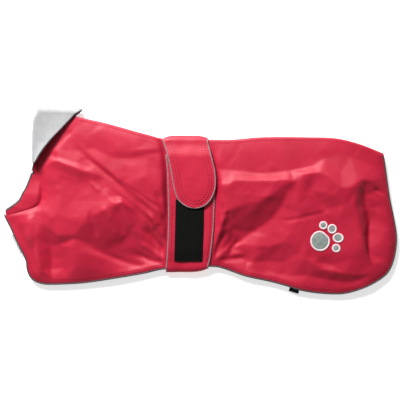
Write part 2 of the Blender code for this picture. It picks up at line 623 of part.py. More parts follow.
def strap_cord(name, edge, path, side, material):
    """Piping beside one edge of a strap; side is -1 for the left edge."""
    rows = np.array(edge)[np.argsort(np.array(edge)[:, 1])]
    x = np.interp(path[:, 0], rows[:, 1], rows[:, 0]) - side * BELT_BINDING_RADIUS
    run = np.gradient(path, axis=0)
    run /= np.linalg.norm(run, axis=1, keepdims=True)
    inner = np.stack([-run[:, 1], run[:, 0]], axis=-1) * BELT_PLY / 2
    points = np.column_stack([x, path + inner])
    tube(name, points, BELT_BINDING_RADIUS, material)


def tongue_cord(outline, material):
    plan = inset(outline, BELT_BINDING_RADIUS)
    level = tongue_level(plan[:, 1]) - BELT_PLY / 2
    run = np.column_stack([plan, level])
    top = bed_level(BELT_SPINE) + BASE_TOP
    turn = belt_turn(BELT_SPINE, BELT_TOP, top, 90, BELT_SLIT)[1:]
    shrink = (top - BELT_PLY) / top
    ends = []
    for end in (run[0], run[-1]):
        y = BELT_SPINE + (turn[:, 0] - BELT_SPINE) * 0.88
        z = top / 2 + (turn[:, 1] - top / 2) * shrink
        ends.append(np.column_stack([np.full(len(turn), end[0]), y, z]))
    points = np.vstack([ends[0][::-1], run, ends[1]])
    tube("belt_binding_tongue", points, BELT_BINDING_RADIUS, material)


def belt_tape(material):
    y = np.linspace(2.0, -81.0, 9)
    rows_left, rows_right = np.array(TAPE_LEFT)[::-1], np.array(TAPE_RIGHT)[::-1]
    x_left = np.interp(y, rows_left[:, 1], rows_left[:, 0])
    x_right = np.interp(y, rows_right[:, 1], rows_right[:, 0])
    path = np.stack([y, bed_level(y) + BASE_TOP + GAP + TAPE_PLY], axis=-1)
    sheet("belt_tape", strap_grid(path, x_left, x_right), TAPE_PLY, -1, material)


# ----------------------------------------------------------- small pieces ----
def hem_binding_upper(material):
    outline = smooth(EDGE, 8.0)
    plan = inset(outline, BINDING_RADIUS)[1:]
    panel = inset(outline, 2 * BINDING_RADIUS + EDGE_GAP)[1:]
    level = upper_height(panel[:, 0], panel[:, 1])
    beyond = np.clip((plan[:, 1] - spine_y(plan[:, 0]) + ROLL) / ROLL, 0, 1)
    level = MID_LEVEL + (level - MID_LEVEL) * np.sqrt(1 - beyond ** 2)
    level = level - BINDING_RADIUS - GAP
    at_spine = (beyond > 0) & (plan[:, 0] > 0)
    level = np.where(at_spine, np.maximum(level, MID_LEVEL + BINDING_RADIUS + GAP), level)
    tube("hem_binding_upper", np.column_stack([plan, level]), BINDING_RADIUS, material)


def hem_binding_lower(material):
    plan = inset(smooth(EDGE, 8.0), LOWER_INSET + BINDING_RADIUS)[1:-1]
    level = lower_lift(plan[:, 0], plan[:, 1]) + BINDING_RADIUS + FLOOR_LEVEL
    tube("hem_binding_lower", np.column_stack([plan, level]), BINDING_RADIUS, material)


def paw_outline(angle):
    """Radius of the big pad: round, flattened on its upper right side."""
    return 1 - 0.1 * math.exp(-((angle - math.radians(48)) / math.radians(26)) ** 2)


def paw_patch(name, x, y, radius_x, radius_y, material):
    mesh = bpy.data.meshes.new(name)
    shape = bmesh.new()
    bmesh.ops.create_circle(shape, cap_ends=True, cap_tris=True, segments=PAW_SIDES, radius=1)
    for vertex in shape.verts:
        reach = vertex.co.length
        angle = math.atan2(vertex.co.y, vertex.co.x)
        if name == "paw_pad" and reach > 0.5:
            reach = paw_outline(angle)
        px = x + radius_x * reach * math.cos(angle)
        py = y + radius_y * reach * math.sin(angle)
        level = float(upper_height(np.array([px]), np.array([py]))[0]) + 2 * GAP
        vertex.co = Vector((px, py, level)) * MM
    shape.to_mesh(mesh)
    shape.free()
    piece = new_object(name, mesh, material)
    shell = piece.modifiers.new("ply", "SOLIDIFY")
    shell.thickness = PAW_PLY * MM
    shell.offset = 1


def label(material):
    mesh = bpy.data.meshes.new("label")
    shape = bmesh.new()
    bmesh.ops.create_cube(shape, size=1)
    bmesh.ops.scale(shape, vec=Vector(LABEL_SIZE) * MM, verts=shape.verts)
    shape.to_mesh(mesh)
    shape.free()
    piece = new_object("label", mesh, material)
    piece.location = Vector((*LABEL_AT, LABEL_LEVEL)) * MM
    piece.rotation_euler.z = LABEL_TURN


def chest_tape(material):
    outer = smooth(CHEST_TAPE, 9.0)
    inner = inset(outer, CHEST_TAPE_WIDTH)
    level = np.full((len(outer), 2, 1), CHEST_TAPE_LEVEL)
    grid = np.concatenate([np.stack([outer, inner], axis=1), level], axis=2)
    sheet("chest_tape", grid, CHEST_TAPE_PLY, 1, material)


# ----------------------------------------------------------------- build ----
def build():
    for piece in list(bpy.data.objects):
        bpy.data.objects.remove(piece)
    group = bpy.data.collections.new("dog_coat")
    bpy.context.scene.collection.children.link(group)
    red = cloth("coated_nylon_red", (0.62, 0.025, 0.07), 0.42)
    grey = cloth("fleece_grey", (0.56, 0.56, 0.56), 0.9)
    piping = cloth("piping_grey", (0.26, 0.24, 0.25), 0.6)
    black = cloth("loop_tape_black", (0.015, 0.015, 0.013), 0.95)
    pale = cloth("loop_tape_pale", (0.6, 0.58, 0.58), 0.8)
    silver = cloth("reflective_silver", (0.28, 0.32, 0.3), 0.35)
    woven = cloth("label_black", (0.02, 0.02, 0.02), 0.7)
    upper_body(red)
    lower_body(red)
    for half, upper in (("upper", True), ("lower", False)):
        grid = collar_half(half, upper, red, grey)
        collar_binding(half, grid, piping)
    outline = belt_tongue(red)
    tongue_cord(outline, piping)
    base_path = belt_base(red)
    strap_cord("belt_binding_base_left", BASE_LEFT, base_path, -1, piping)
    strap_cord("belt_binding_base_right", BASE_RIGHT, base_path, 1, piping)
    under_path = belt_underside(red)
    strap_cord("belt_binding_under_left", UNDER_LEFT, under_path, -1, piping)
    strap_cord("belt_binding_under_right", UNDER_RIGHT, under_path, 1, piping)
    belt_tape(black)
    hem_binding_upper(piping)
    hem_binding_lower(piping)
    for name, x, y, radius_x, radius_y in PAW:
        paw_patch(name, x, y, radius_x, radius_y, silver)
    label(woven)
    chest_tape(pale)


build()
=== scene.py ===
"""Looks of the dog coat that lies flat on its side, folded along the spine.

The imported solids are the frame.  Outlines and levels are named values like
those in the part's source, in millimetres.  The folds are drawn more finely
here.  Mesh points are turned into metres when a piece is made.
"""
import math

import bmesh
import bpy
import numpy as np
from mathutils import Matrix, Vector
from mathutils.geometry import delaunay_2d_cdt


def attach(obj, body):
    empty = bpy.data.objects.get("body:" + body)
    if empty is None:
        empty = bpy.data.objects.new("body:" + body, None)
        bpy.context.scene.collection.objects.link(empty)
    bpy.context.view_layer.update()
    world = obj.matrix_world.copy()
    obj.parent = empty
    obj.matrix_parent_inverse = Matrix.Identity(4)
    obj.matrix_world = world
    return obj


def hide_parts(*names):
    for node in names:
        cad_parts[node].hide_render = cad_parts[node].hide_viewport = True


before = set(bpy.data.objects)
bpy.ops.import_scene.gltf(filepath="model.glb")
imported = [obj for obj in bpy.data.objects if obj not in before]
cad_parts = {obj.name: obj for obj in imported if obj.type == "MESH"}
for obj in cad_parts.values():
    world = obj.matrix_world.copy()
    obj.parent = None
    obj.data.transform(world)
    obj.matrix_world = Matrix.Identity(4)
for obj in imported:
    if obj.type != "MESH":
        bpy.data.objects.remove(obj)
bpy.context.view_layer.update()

MM = 0.001
UP = (0, 0, 1)
SIDEWAYS = (0, 1, 0)
TINY = 1e-6
SMALL = 1e-9

# ---------------------------------------------------------------- cloth ----
WALL = 1.6
COLLAR_PLY = 1
BELT_PLY = 2
GAP = 0.3
TOUCH = 0.1
SHARP_EDGE = math.radians(55)
BINDING_RADIUS = 1.25
BELT_BINDING_RADIUS = 1
CORD_END = 0.72          # share of the radius at a piping's two ends
CORD_UV = 10             # millimetres of piping to one unit of its UV
HEM_LEVEL = 5.8
BODY_LEVEL = 15
SPINE_LEVEL = 10.4
NECK_LEVEL = 9.8
SPINE_REACH = 22         # reaches: how fast a level gives way to the next
NECK_REACH = 16
HEM_REACH = 23
REAR_TOP = (10, 60)
FOLD_HEM = 10            # folds die this near the hem
FOLD_CALM = (0.9, 8, 7, 8)      # share, and reach from the hem, the seam and the spine
SEAM_DIP = (1.7, 2.6)           # depth and reach of the neckline's dip
SEAM_DIP_END = (30, 46)
COLLAR_BULGE = (5, 15, 2.8, 0.22)   # centre and half length in y, height, place of its crest
BELT_LEVEL = 9.6
BELT_HEM_LEVEL = 7.8
ROLL = 5                 # the spine fold: its reach, rows and squareness
ROLL_ROWS = 14
ROLL_POWER = 0.6
NECK_BLEND = -90
TAIL_BLEND = 170
STRAIGHT = np.linspace(-150, 215, 190)
FANS = (46, 26)
UPPER_ROWS = np.linspace(0, 1, 134)
LOWER_ROWS = np.linspace(0, 1, 30)
CURVE_PARTS = 12
WANDER_WAVES = 5
WANDER_REACH = (0.6, 1.5)
WANDER_SIZE = 3.2
CRINKLES = ((55, 21, 0.8), (23, 22, 0.4))   # of the lower half: reach, seed, height
CRINKLE_HEM = 12

# ------------------------------------------------------------- outlines ----
EDGE = (
    (-265, -15.5), (-262, -23), (-255.3, -35.5), (-249.4, -48.5), (-243, -62), (-237, -73.5),
    (-233.8, -82), (-233.2, -90), (-231, -98), (-225.5, -106), (-216, -111), (-200, -113),
    (-155, -110.8), (-106.5, -103.5), (-74.4, -98), (-50, -92.6), (-15, -89.6), (18, -88.8),
    (34, -92), (62, -101.8), (94.5, -108.9), (118.6, -115.4), (137, -121), (158.8, -124.6),
    (182.9, -126), (199, -124.6), (215, -120), (231.2, -113.2), (247.2, -103.6), (256.2, -94),
    (262.2, -80), (265.6, -62), (266, -46), (262.8, -25.5), (257.2, 1.3), (254.2, 21.4),
    (251.5, 41.5), (247.6, 64.5),
)
CHEST_CORNER = 9
REAR_CORNER = 28
SPINE = (
    (-189.6, 118.2), (-172, 115), (-154.8, 111.2), (-130.7, 105.9), (-106.5, 99.4), (-82.4, 92.6),
    (-66.3, 88.4), (-49, 84), (-15, 83.2), (14, 82.8), (34, 82.2), (54.3, 83.3), (78.4, 85.6),
    (110, 86.2), (150, 85.8), (175, 85.2), (191, 83.2), (207, 79.2), (223.1, 73.9), (239.2, 67.2),
    (247.6, 63.8),
)
COLLAR = (
    # seam_x, seam_y, turn_x, turn_y, free_x, free_y, over
    (-189.6, 113.2, -217.2, 119.4, -168, 116.6, 1),
    (-192.3, 104, -221.6, 110.5, -176.4, 107.2, 1),
    (-197, 92.5, -223.2, 98, -186.2, 96.4, 1),
    (-201.7, 79, -223.6, 86, -195.8, 86, 1),
    (-205.7, 68.3, -223.7, 74.5, -204.8, 75.2, 1),
    (-209, 57.6, -223.7, 62.5, -213, 63.4, 1),
    (-210.4, 50.8, -223.7, 54.4, -218, 54.4, 1),
    (-210.8, 47.6, -223.6, 50.8, -220, 50.8, 0.84),
    (-211.2, 44.8, -223.5, 47.6, -220.8, 47.6, 0.66),
    (-211.7, 39.8, -223.8, 42.2, -221, 42.2, 0.33),
    (-212.2, 34, -220.6, 35, -224.4, 35.6, 0),
    (-212.4, 25, -221, 26.6, -227.4, 27.6, 0),
    (-212.4, 13.4, -224, 15.4, -232, 16.6, 0),
    (-212.8, 4, -227, 6.6, -236.8, 8.4, 0),
    (-217.4, -6.2, -231, -3.2, -241.6, -0.6, 0),
    (-238, -13.6, -246, -11.2, -252.6, -9.4, 0),
    (-259.6, -18.4, -260.6, -16.6, -261.4, -15, 0),
)
COLLAR_STEP = 2.2
STAND_POINTS = 8
TURN_POINTS = 11
FALL_POINTS = 16
TURN_WIDTH = 3
TURN_RISE = 5.2
OPEN_RISE = 0.4
COLLAR_MID = 6.4
COLLAR_ANGLES = (88, 76, 64, 52, 40, 28, 14)
COLLAR_ROLL = 6.4
COLLAR_TRIM = 0.6        # the piping's centre beyond the free edge, in radii
SEAM_INSET = 0.6
TIP_SHEAR = 9
TIP_SHARE = 0.55
COLLAR_LIFT = 2 * COLLAR_PLY + 4.5 * GAP
LIFT_ACROSS = (12, 34)
LIFT_DOWN = (8, 40)
TUCK_LIFT = (44, 9, 1.1)
TUCK_LEAF = 0.5
LOWER_SLIVER = (-1.7, 1)
LEAF_HOVER = 5.6         # the turned collar's free edge stands off the coat midway
HOVER_END = 0.5
HOVER_POWER = 1.6

TONGUE_EDGE = (
    (-49, 79), (-46, 70), (-42, 55.7), (-39.2, 41.9), (-36.5, 26.8), (-34.2, 15), (-31.8, 7),
    (-28.4, 0.6), (-23.2, -4.4), (-16, -8.6), (-7, -10.4), (1, -9.4), (8.4, -6), (14.4, 0),
    (18.6, 7), (21.4, 16), (22.4, 26.8), (20.9, 41.9), (17.6, 55.7), (14, 70), (11.6, 79),
)
BASE_LEFT = (
    (-45.6, 62), (-43.3, 42), (-42.4, 14), (-41.9, -16.5), (-42.4, -47.3), (-44, -78),
    (-45.2, -87),
)
BASE_RIGHT = (
    (14, 62), (18, 42), (20.4, 14), (20.6, 2), (19.4, -31.9), (17, -59.6), (14.6, -78), (12, -87),
)
UNDER_LEFT = ((-45.2, -87), (-46, 0), (-49, 79))
UNDER_RIGHT = ((12, -87), (17, 0), (11.6, 79))
BELT_SPINE = 79
BELT_HEM = -87
BELT_TOP = 88
BELT_BOTTOM = -96.4
BED_SLOPE = (-88, -62)
BASE_END = 62
TONGUE_DROP = 58
TAPE_LEFT = ((-31.8, 2), (-32.8, -40), (-33.9, -82))
TAPE_RIGHT = ((6.4, 2), (5.4, -40), (3.8, -80))
TAPE_PLY = 1
TAPE_ENDS = (2, -81)
TAPE_PILE = 0.16
# The strap's outer edges as y, x, for the cloth beside them.
STRAP_LEFT = (
    (-87, -45.2), (-78, -44), (-47, -42.4), (-16.5, -41.9), (14, -42.4), (42, -43.3), (62, -46.2),
    (79, -49),
)
STRAP_RIGHT = (
    (-87, 12), (-78, 14.6), (-59.6, 17), (-31.9, 19.4), (2, 20.6), (14, 21.8), (26.8, 22.4),
    (41.9, 20.9), (55.7, 17.6), (79, 11.6),
)
STRAP_EASE = 1.4
BED_FADE = (11, 16)      # reach of the puffed cloth, left and right of the strap
BED_WAVE = (0.45, 46)
BED_POWER = 2.2
BELT_COLUMNS = 36
BELT_ROWS = 60
BELT_CROWN = 0.5
BELT_PUFF = ((0.25, 1, 34, 5), (0.06, 0.3, 7, 6))   # height, stretch, reach, seed
BELT_NIP = (0.5, 5.5)    # folds die this far from the strap
UNDER_BELT = (-54, 27)
UNDER_FADE = 14
BASE_TOP = GAP + BELT_PLY
TONGUE_TOP = BASE_TOP + TAPE_PLY + BELT_PLY + 2 * GAP

# Crest and valley lines of the upper half.  Each line is a run of x, y in
# picture pixels of PIXEL millimetres and the height in millimetres over the
# smooth level.  The cloth is flat between neighbouring lines.
PIXEL = 1.34
PIXEL_ZERO = (199.5, 201)
LINES = (
    # rear panel: shelf below the spine, its crest, and the rounded hump
    ((214, 168, 0), (222, 169, 0), (232, 171, 0), (260, 173, 0), (290, 172, 0), (300, 169.5, 0),
     (312, 166, 0.3), (325, 158, 0), (337, 154, 0), (350, 157, 0), (362, 161, 0), (374, 166, 0.3),
     (382, 170, 0.3)),
    ((216, 186, 2.6), (220, 184.5, 3.2), (228, 184.5, 3.4), (234, 180.5, 3.2), (262, 180, 3.4),
     (288, 180, 3.6), (293, 182, 3.4)),
    ((297, 179, 3.4), (301, 174.5, 3.4), (310, 172.5, 3.5), (318, 172, 3.6), (326, 175, 3.8),
     (333, 181, 4.2), (341, 188.5, 4.8), (350, 188.5, 5), (356, 183.5, 4.8), (361, 181, 4.4),
     (370, 181, 3.4), (380, 179, 2.4)),
    # dark face and the valley at its foot
    ((230, 211, 1.6), (234, 206, 2.4), (243, 198, 3), (258, 201.5, 2.7), (270, 195, 3),
     (283, 185, 3.4), (293, 182, 3.4)),
    ((293, 182, 3.4), (288, 192, 1.2), (281, 206, -1.2), (272, 219.5, -3.2), (262, 227, -4.4),
     (250, 233.5, -5.4), (239, 241, -6), (231, 249, -6)),
    # face to the right of the valley and its lower edge
    ((236, 247, -5.6), (246, 244.5, -4), (258, 246.5, -2.6), (270, 247.5, -1.8), (282, 242, -0.8),
     (290, 233, -0.2), (301, 222, 0.4), (312, 216, 0.4)),
    ((299, 180, 3.5), (303, 192, 3), (312, 203.5, 2), (322, 212.5, 0.6)),
    ((305, 178, 3.1), (311, 189, 1.3), (318.5, 199, 0.5), (326, 208, -0.2)),
    # trough before the rear edge
    ((361, 181, 4.4), (356, 192, 3.8), (354.5, 206, 3.6), (358, 218, 3.2), (362, 236, 2.8),
     (365.5, 250, 1.8), (370.5, 262, 0.4)),
    ((365, 184, 2.4), (364, 196, -0.6), (366.5, 208, -2.4), (369.5, 219, -3.4), (368.5, 236, -3.6),
     (369, 252, -2.4), (372.5, 264, 0)),
    ((384, 188, 1.4), (386, 204, 1.2), (389, 222, 1.6), (391, 244, 1.4), (387, 262, 0.6)),
    # above the rear hem
    ((300, 253, -1.2), (306, 258, 0.2), (314, 264, 0.8), (322, 270, 0.6), (335, 272.5, 0.6),
     (346, 273.5, 0.8), (358, 274.5, 0.8), (371, 273.5, 0.6)),
    ((318, 257, -0.4), (324, 263, -1.6), (332, 266, -1.4)),
    ((308, 276, -2.4), (322, 279, -2), (338, 281.5, -2.2), (348, 282.5, -2.2), (359, 280, -1.4)),
    ((264, 250, -3), (266, 262, -5), (268, 272, -4.2)),
    ((278, 250, -2.6), (284, 262, -4.4), (288, 276, -4)),
    ((244, 252, -5.2), (248, 262, -5.6), (246, 272, -3)),
    ((253, 252, -3.4), (254, 262, -3.6), (256, 272, -2.4)),
    # beside the belt, rear
    ((229.5, 212, 0.4), (231.5, 228, -3.6), (230.5, 244, -5.4), (228, 258, -3.6)),
    ((221, 213.5, 2), (218.5, 228, 0.4), (221, 242, -1.4), (219, 256, -2)),
    # front panel: ridge over the spine side, long crease, and the light band
    ((105, 126, 1), (120, 129, 1.2), (140, 135, 1)),
    ((116, 152, 0.3), (134, 151, 0.7), (150, 149.5, 0.9), (163, 147, 0.6)),
    ((95, 149, -0.1), (113, 157, -0.2), (130, 158, -0.3), (146, 155, -0.1), (162, 152, 0)),
    ((72, 136, 0.3), (84, 150, 0.6), (100, 163, 1.1), (112, 172.5, 1.5), (125, 184.5, 1.8),
     (137, 195, 1.7), (150, 206, 1.3), (161, 215, 0.8)),
    ((66, 140, 0.1), (78, 150, 0), (92, 162, 0), (107, 175, 0.1), (118, 184.5, 0.3),
     (134, 199.5, 0.3), (149, 212, 0.1), (162, 223, -0.3)),
    ((112, 184, 0.7), (128, 197.5, 1.1), (143, 210, 0.9), (157, 223, 0.2)),
    ((120, 196.5, 0.5), (136, 209, -0.5), (150, 221, -1.2)),
    ((56, 150, 0.6), (58, 159, 1.3), (66, 165, 1.8), (80, 170.5, 2), (95, 174, 1.7),
     (106, 178.5, 0.8)),
    # chest hump and the dark hollow behind it
    ((72, 203, 1), (80, 192, 1), (92, 182.5, 0.9), (108, 186, 1.2), (120, 196.5, 1.4)),
    ((75, 235, 1.6), (85, 223.5, 3.4), (89, 216, 3.8), (98, 213.5, 4), (107, 208.5, 4),
     (116, 204.5, 3.8), (123, 201.5, 3.2), (131, 208, 1.4), (141, 218, -0.8), (152, 231, -2.8)),
    ((98, 220, 3), (110, 227, 1.3), (122, 237, -1.2)),
    ((87, 228, 2.2), (98, 235, 0.2)),
    ((118, 214, 1.8), (128, 234, -2.2), (133, 256, -4.8)),
    ((138, 230, -2), (146, 249, -4), (148, 264, -4.4)),
    ((58, 235, 1.2), (75, 238.5, 0.4), (90, 243.5, -1.4), (105, 250.5, -3), (118, 259.5, -4.2),
     (130, 269, -4.2)),
    ((72, 247, 0.8), (80, 251, 1), (93, 257, 0), (106, 263, -1.6), (118, 270, -2.4)),
    ((76, 265, 1), (84, 268, 0.8), (98, 271, 0)),
    # trough at the chest and the front edge
    ((35, 222, 1), (35.5, 238, 1.6), (37, 254, 1.8), (40, 271, 0.8)),
    ((41, 224, 0.6), (45.5, 234, -1.6), (49.5, 246, -4.4), (51, 258, -5.4), (51.5, 269, -4.6),
     (52, 280, -1.4)),
    ((51, 229, 0.8), (58, 245, -2.4), (61.5, 258, -3.2), (64, 268, -2.8), (67, 278, -0.8)),
    ((20, 208, 0.2), (27, 212, 2.4), (29.5, 224, 3), (30, 238, 2.4)),
    ((9, 217, -0.4), (15, 224, -1.8), (22, 236, -2.2), (28, 249, -2.2), (33, 262, -1.8),
     (39, 275, -0.6)),
    # dip under the turned collar, hook crease and bulge under the neckline
    ((72, 131, -0.3), (60, 142, -0.8), (51, 152, -1.2), (43, 163, -1.6), (39.5, 172, -2.4),
     (41, 176, -2.4)),
    ((41, 176, -2.4), (42.5, 190, -2.4), (41.5, 199, -2), (37.5, 205, -1.6), (32, 207, -1),
     (27, 204.5, 0)),
    ((36, 182, 1.2), (35.5, 192, 2.6), (33, 199, 3), (29.5, 201, 2)),
    ((45.5, 176, -0.2), (46.5, 190, 0), (45.5, 201, 0.2), (40, 209, 0.4), (33, 212, 0.5)),
)
# Single places that hold the cloth between the lines: x, y, height.
SPOTS = (
    (235, 150, 0), (265, 148, 0), (300, 148, 0), (335, 146, 0), (250, 162, 0), (280, 162, 0),
    (305, 160, 0), (366, 152, 0), (355, 172, 2.6), (340, 172, 1.6), (262, 190, 3.1),
    (284, 199, 0.2), (296, 205, 1.6), (300, 214, 0.9), (330, 195, 3.4), (345, 205, 3.2),
    (338, 218, 2), (348, 232, 2), (320, 240, 0.8), (336, 250, 0.8), (350, 258, 1),
    (292, 244, -0.8), (305, 240, 0.2), (380, 212, 0), (382, 240, 0), (80, 126, 0), (90, 136, 0.4),
    (150, 140, 0.4), (160, 168, 0.8), (146, 176, 1.5), (160, 188, 1.3), (158, 202, 1.1),
    (60, 178, 0.9), (75, 184, 0.8), (92, 180, 1), (116, 192, 1), (60, 195, 1.2), (58, 215, 2.4),
    (70, 220, 2.4), (96, 198, 2.4), (108, 197, 2.6), (34, 250, -0.4), (106, 240, -1),
    (120, 244, -3), (155, 250, -4.6), (160, 262, -3.6), (20, 214, 0),
)
RIM_STEP = 14
FIELD_X = 280         # half size of the grid of heights, one place a millimetre
FIELD_Y = 140
BLUR = 1.15           # softness of a crest between two flat faces, in millimetres
BLUR_REACH = 5
FACET_DEPTH = 1.7     # all heights of the lines are scaled by this
FOLD_DEPTH = 1.4
FOLD_FADE = 0.22
CREST = 0.9           # softness of a sharp crest
TENT = 1.7            # its straight sides reach this many fall-offs
FOOT = 0.12           # softness where they end
SHIFT = 2.2           # the folds wander off their lines by about this much
SHIFT_WAVE = 60
SHIFT_SHARES = (0.4, 0.5)
CRUMPLES = 170        # small random creases over the upper half
CRUMPLE_X = (-235, 260)
CRUMPLE_Y = (-118, 100)
CRUMPLE_TURN = (-50, -0.6, 0.5, 0.7)    # parting in x, angle on each side, spread
CRUMPLE_LENGTH = (16, 52)
CRUMPLE_WIDTH = (3, 8)
CRUMPLE_RISE = (0.1, 0.42)
CRUMPLE_BOW = (-3, 3)
CRUMPLE_LEAN = (0.4, 1.6)
# Places where the hem lifts off: x, y, rise, radius.
HEM_LIFTS = (
    (129, -118, 1.4, 24), (-246, -58, 1.4, 24), (-110, -104, 1.2, 26), (226, -116, 1.6, 20),
    (258, 0, 1, 26), (66, -103, 1.2, 20),
)
# Paw patches: node, x, y, radii.
PAW = (
    ("paw_pad", 161.4, -53.6, 13.2, 13.6),
    ("paw_toe_1", 165.6, -32.6, 5.6, 5.5),
    ("paw_toe_2", 177.4, -37.4, 6.2, 6.5),
    ("paw_toe_3", 185.4, -49.4, 7.3, 6.5),
    ("paw_toe_4", 182.8, -63.2, 5.7, 5.7),
)
PAW_CALM = (171, -48, 30)
PAW_SHARE = 0.85
PAW_BORDER = 2.2
PAW_SIDES = 56
PAD_DENT = (0.1, math.radians(48), math.radians(26))
LABEL_AT = (129, -116.3)
LABEL_SIZE = (13.4, 15, 0.56)
LABEL_TURN = math.radians(-17)
LABEL_LEVEL = 3.3
LABEL_ROWS = (16, 14)
CHEST_TAPE = ((-252.4, -45), (-248.2, -54), (-243.6, -63), (-239.6, -71))
CHEST_TAPE_WIDTH = 12
CHEST_TAPE_PLY = 0.4
CHEST_TAPE_PILE = 0.25
CHEST_TAPE_SHOWS = 2.2
CHEST_TAPE_LEVEL = 2.9
LOWER_INSET = 1.8
PIPING_LEVEL = 5.4       # of the hem's piping where it ends beside the spine
# Threads: each row's distance from its edge, and the thread itself.
HEM_ROWS = (3.9, 7.2)
HEM_ROWS_END = -232
TONGUE_ROWS = (6.5, 10.5)
BASE_ROWS = 5
BASE_ROWS_Y = (-6, -84)
STITCH = 2.2
STITCH_GAP = 1.6
STITCH_START = 0.4
THREAD_RADIUS = 0.32
THREAD_ARCH = (1.2, 0.5)
THREAD_SIDES = 6
THREAD_PROFILE = ((0, 0.35), (0.25, 0.95), (0.5, 1), (0.75, 0.95), (1, 0.35))
# The camera straight above, in metres; the lens in millimetres.
VIEW_CENTRE = (0.0007, 0.0013)
VIEW_LEVEL = 0.012
VIEW_ACROSS = 0.536
LENS = 85
SENSOR = 36

# Sharp small creases of the top layer: both ends, bow, rise, the fall-off on
# the left and on the right, and how sharp the crest is.
CREASES = (
    (-150, 56, -112, 30, 0, -0.7, 1.6, 2.4, 1),
    (-118, 34, -58, -18, 0, -0.9, 1.6, 2.2, 1),
    (-104, 27, -54, -10, -1, -0.7, 1.4, 1.8, 1),
    (-100, 12, -58, -32, 0, -0.7, 1.6, 2, 1),
    (235, 16, 249, 10, 0, -1.1, 1.4, 1.6, 1),
    (40, -66, 54, -52, 0, -0.9, 1.6, 2, 1),
    (19, -80, 46, -58, 0, 1.5, 2.4, 3.4, 1),
    (20, -74, 37, -40, 1, -1.7, 2.6, 3, 1),
    (21, -62, 33, -20, 1, 1.4, 2.2, 3, 1),
    (22, -44, 31, -4, 0, -1.5, 2.2, 2.6, 1),
    (19, -82, 64, -76, 1, -1.3, 2.4, 3, 1),
    (-45, -86, -86, -72, 1, -1.5, 2.6, 2.6, 1),
    (-45, -82, -78, -56, 0, 1.4, 2.6, 3, 1),
    (-44, -70, -72, -36, 1, -1.6, 2.6, 3, 1),
    (-44, -52, -66, -14, 1, 1.2, 2.4, 3, 1),
    (-44, -30, -58, 10, 0, -1.4, 2.4, 2.6, 1),
    (110, -26, 166, -14, -2, -0.6, 1.6, 2.2, 1),
    (-146, 26, -133, 12, 0, 0.7, 2, 2, 1),
    (-206, 56, -150, 38, 2, 1.4, 3, 5, 0.7),
    (-146, -14, -138, -46, 0, -0.9, 2.4, 2.4, 1),
    (-130, -8, -108, -46, 2, 1, 3, 3, 0.8),
    (-104, -10, -84, -46, 0, 0.9, 3, 3, 0.8),
    (-96, -40, -72, -84, 0, -0.9, 3, 3, 0.8),
    (-150, -60, -74, -90, -3, -1.1, 3, 3, 0.8),
)


# ---------------------------------------------------------------- curves ----
def unit(vectors):
    """The same directions with length one."""
    return vectors / np.maximum(np.linalg.norm(vectors, axis=-1, keepdims=True), SMALL)


def travel(points):
    """How far along the run each point lies."""
    return np.concatenate([[0], np.cumsum(np.linalg.norm(np.diff(points, axis=0), axis=1))])


def smooth(points, step):
    """Points about `step` apart on a smooth curve through the given rows."""
    points = np.array(points, float)
    ends = np.vstack([2 * points[0] - points[1], points, 2 * points[-1] - points[-2]])
    dense = []
    for a, b, c, d in zip(ends, ends[1:], ends[2:], ends[3:]):
        for t in np.linspace(0, 1, CURVE_PARTS, endpoint=False):
            dense.append(0.5 * (2 * b + (c - a) * t + (2 * a - 5 * b + 4 * c - d) * t ** 2
                                + (3 * b - a - 3 * c + d) * t ** 3))
    dense = np.array(dense + [points[-1]])
    run = travel(dense)
    where = np.linspace(0, run[-1], max(2, round(run[-1] / step) + 1))
    return np.stack([np.interp(where, run, column) for column in dense.T], axis=1)


def inset(points, distance):
    """The plan curve moved to the left of its run."""
    tangent = unit(np.gradient(points[:, :2], axis=0))
    moved = points.copy()
    moved[:, 0] -= tangent[:, 1] * distance
    moved[:, 1] += tangent[:, 0] * distance
    return moved


def ease(value, start, end):
    t = np.clip((value - start) / (end - start), 0, 1)
    return t * t * (3 - 2 * t)


def distance_to(curve, x, y):
    """Distance in plan from each point to the curve."""
    best = np.full(np.shape(x), np.inf)
    for (ax, ay), (bx, by) in zip(curve[:-1, :2], curve[1:, :2]):
        dx, dy = bx - ax, by - ay
        t = np.clip(((x - ax) * dx + (y - ay) * dy) / (dx * dx + dy * dy), 0, 1)
        best = np.minimum(best, np.hypot(x - ax - t * dx, y - ay - t * dy))
    return best


EDGE_CURVE = smooth(EDGE, 3)
SPINE_CURVE = smooth(SPINE, 4)
SEAM_CURVE = smooth([row[0:2] for row in COLLAR], 4)
FREE_CURVE = smooth([row[4:6] for row in COLLAR[:7]], 4)


def spine_y(x):
    return np.interp(x, SPINE_CURVE[:, 0], SPINE_CURVE[:, 1])


def wander(x, y, scale, seed):
    """A slow irregular wave over the plan, about -1 to 1."""
    source = np.random.default_rng(seed)
    total = np.zeros(np.shape(x))
    for _ in range(WANDER_WAVES):
        angle, phase = source.uniform(0, math.tau, 2)
        reach = scale * source.uniform(*WANDER_REACH)
        along = (x * math.cos(angle) + y * math.sin(angle)) / reach
        total = total + np.sin(along * math.tau + phase)
    return total / WANDER_SIZE


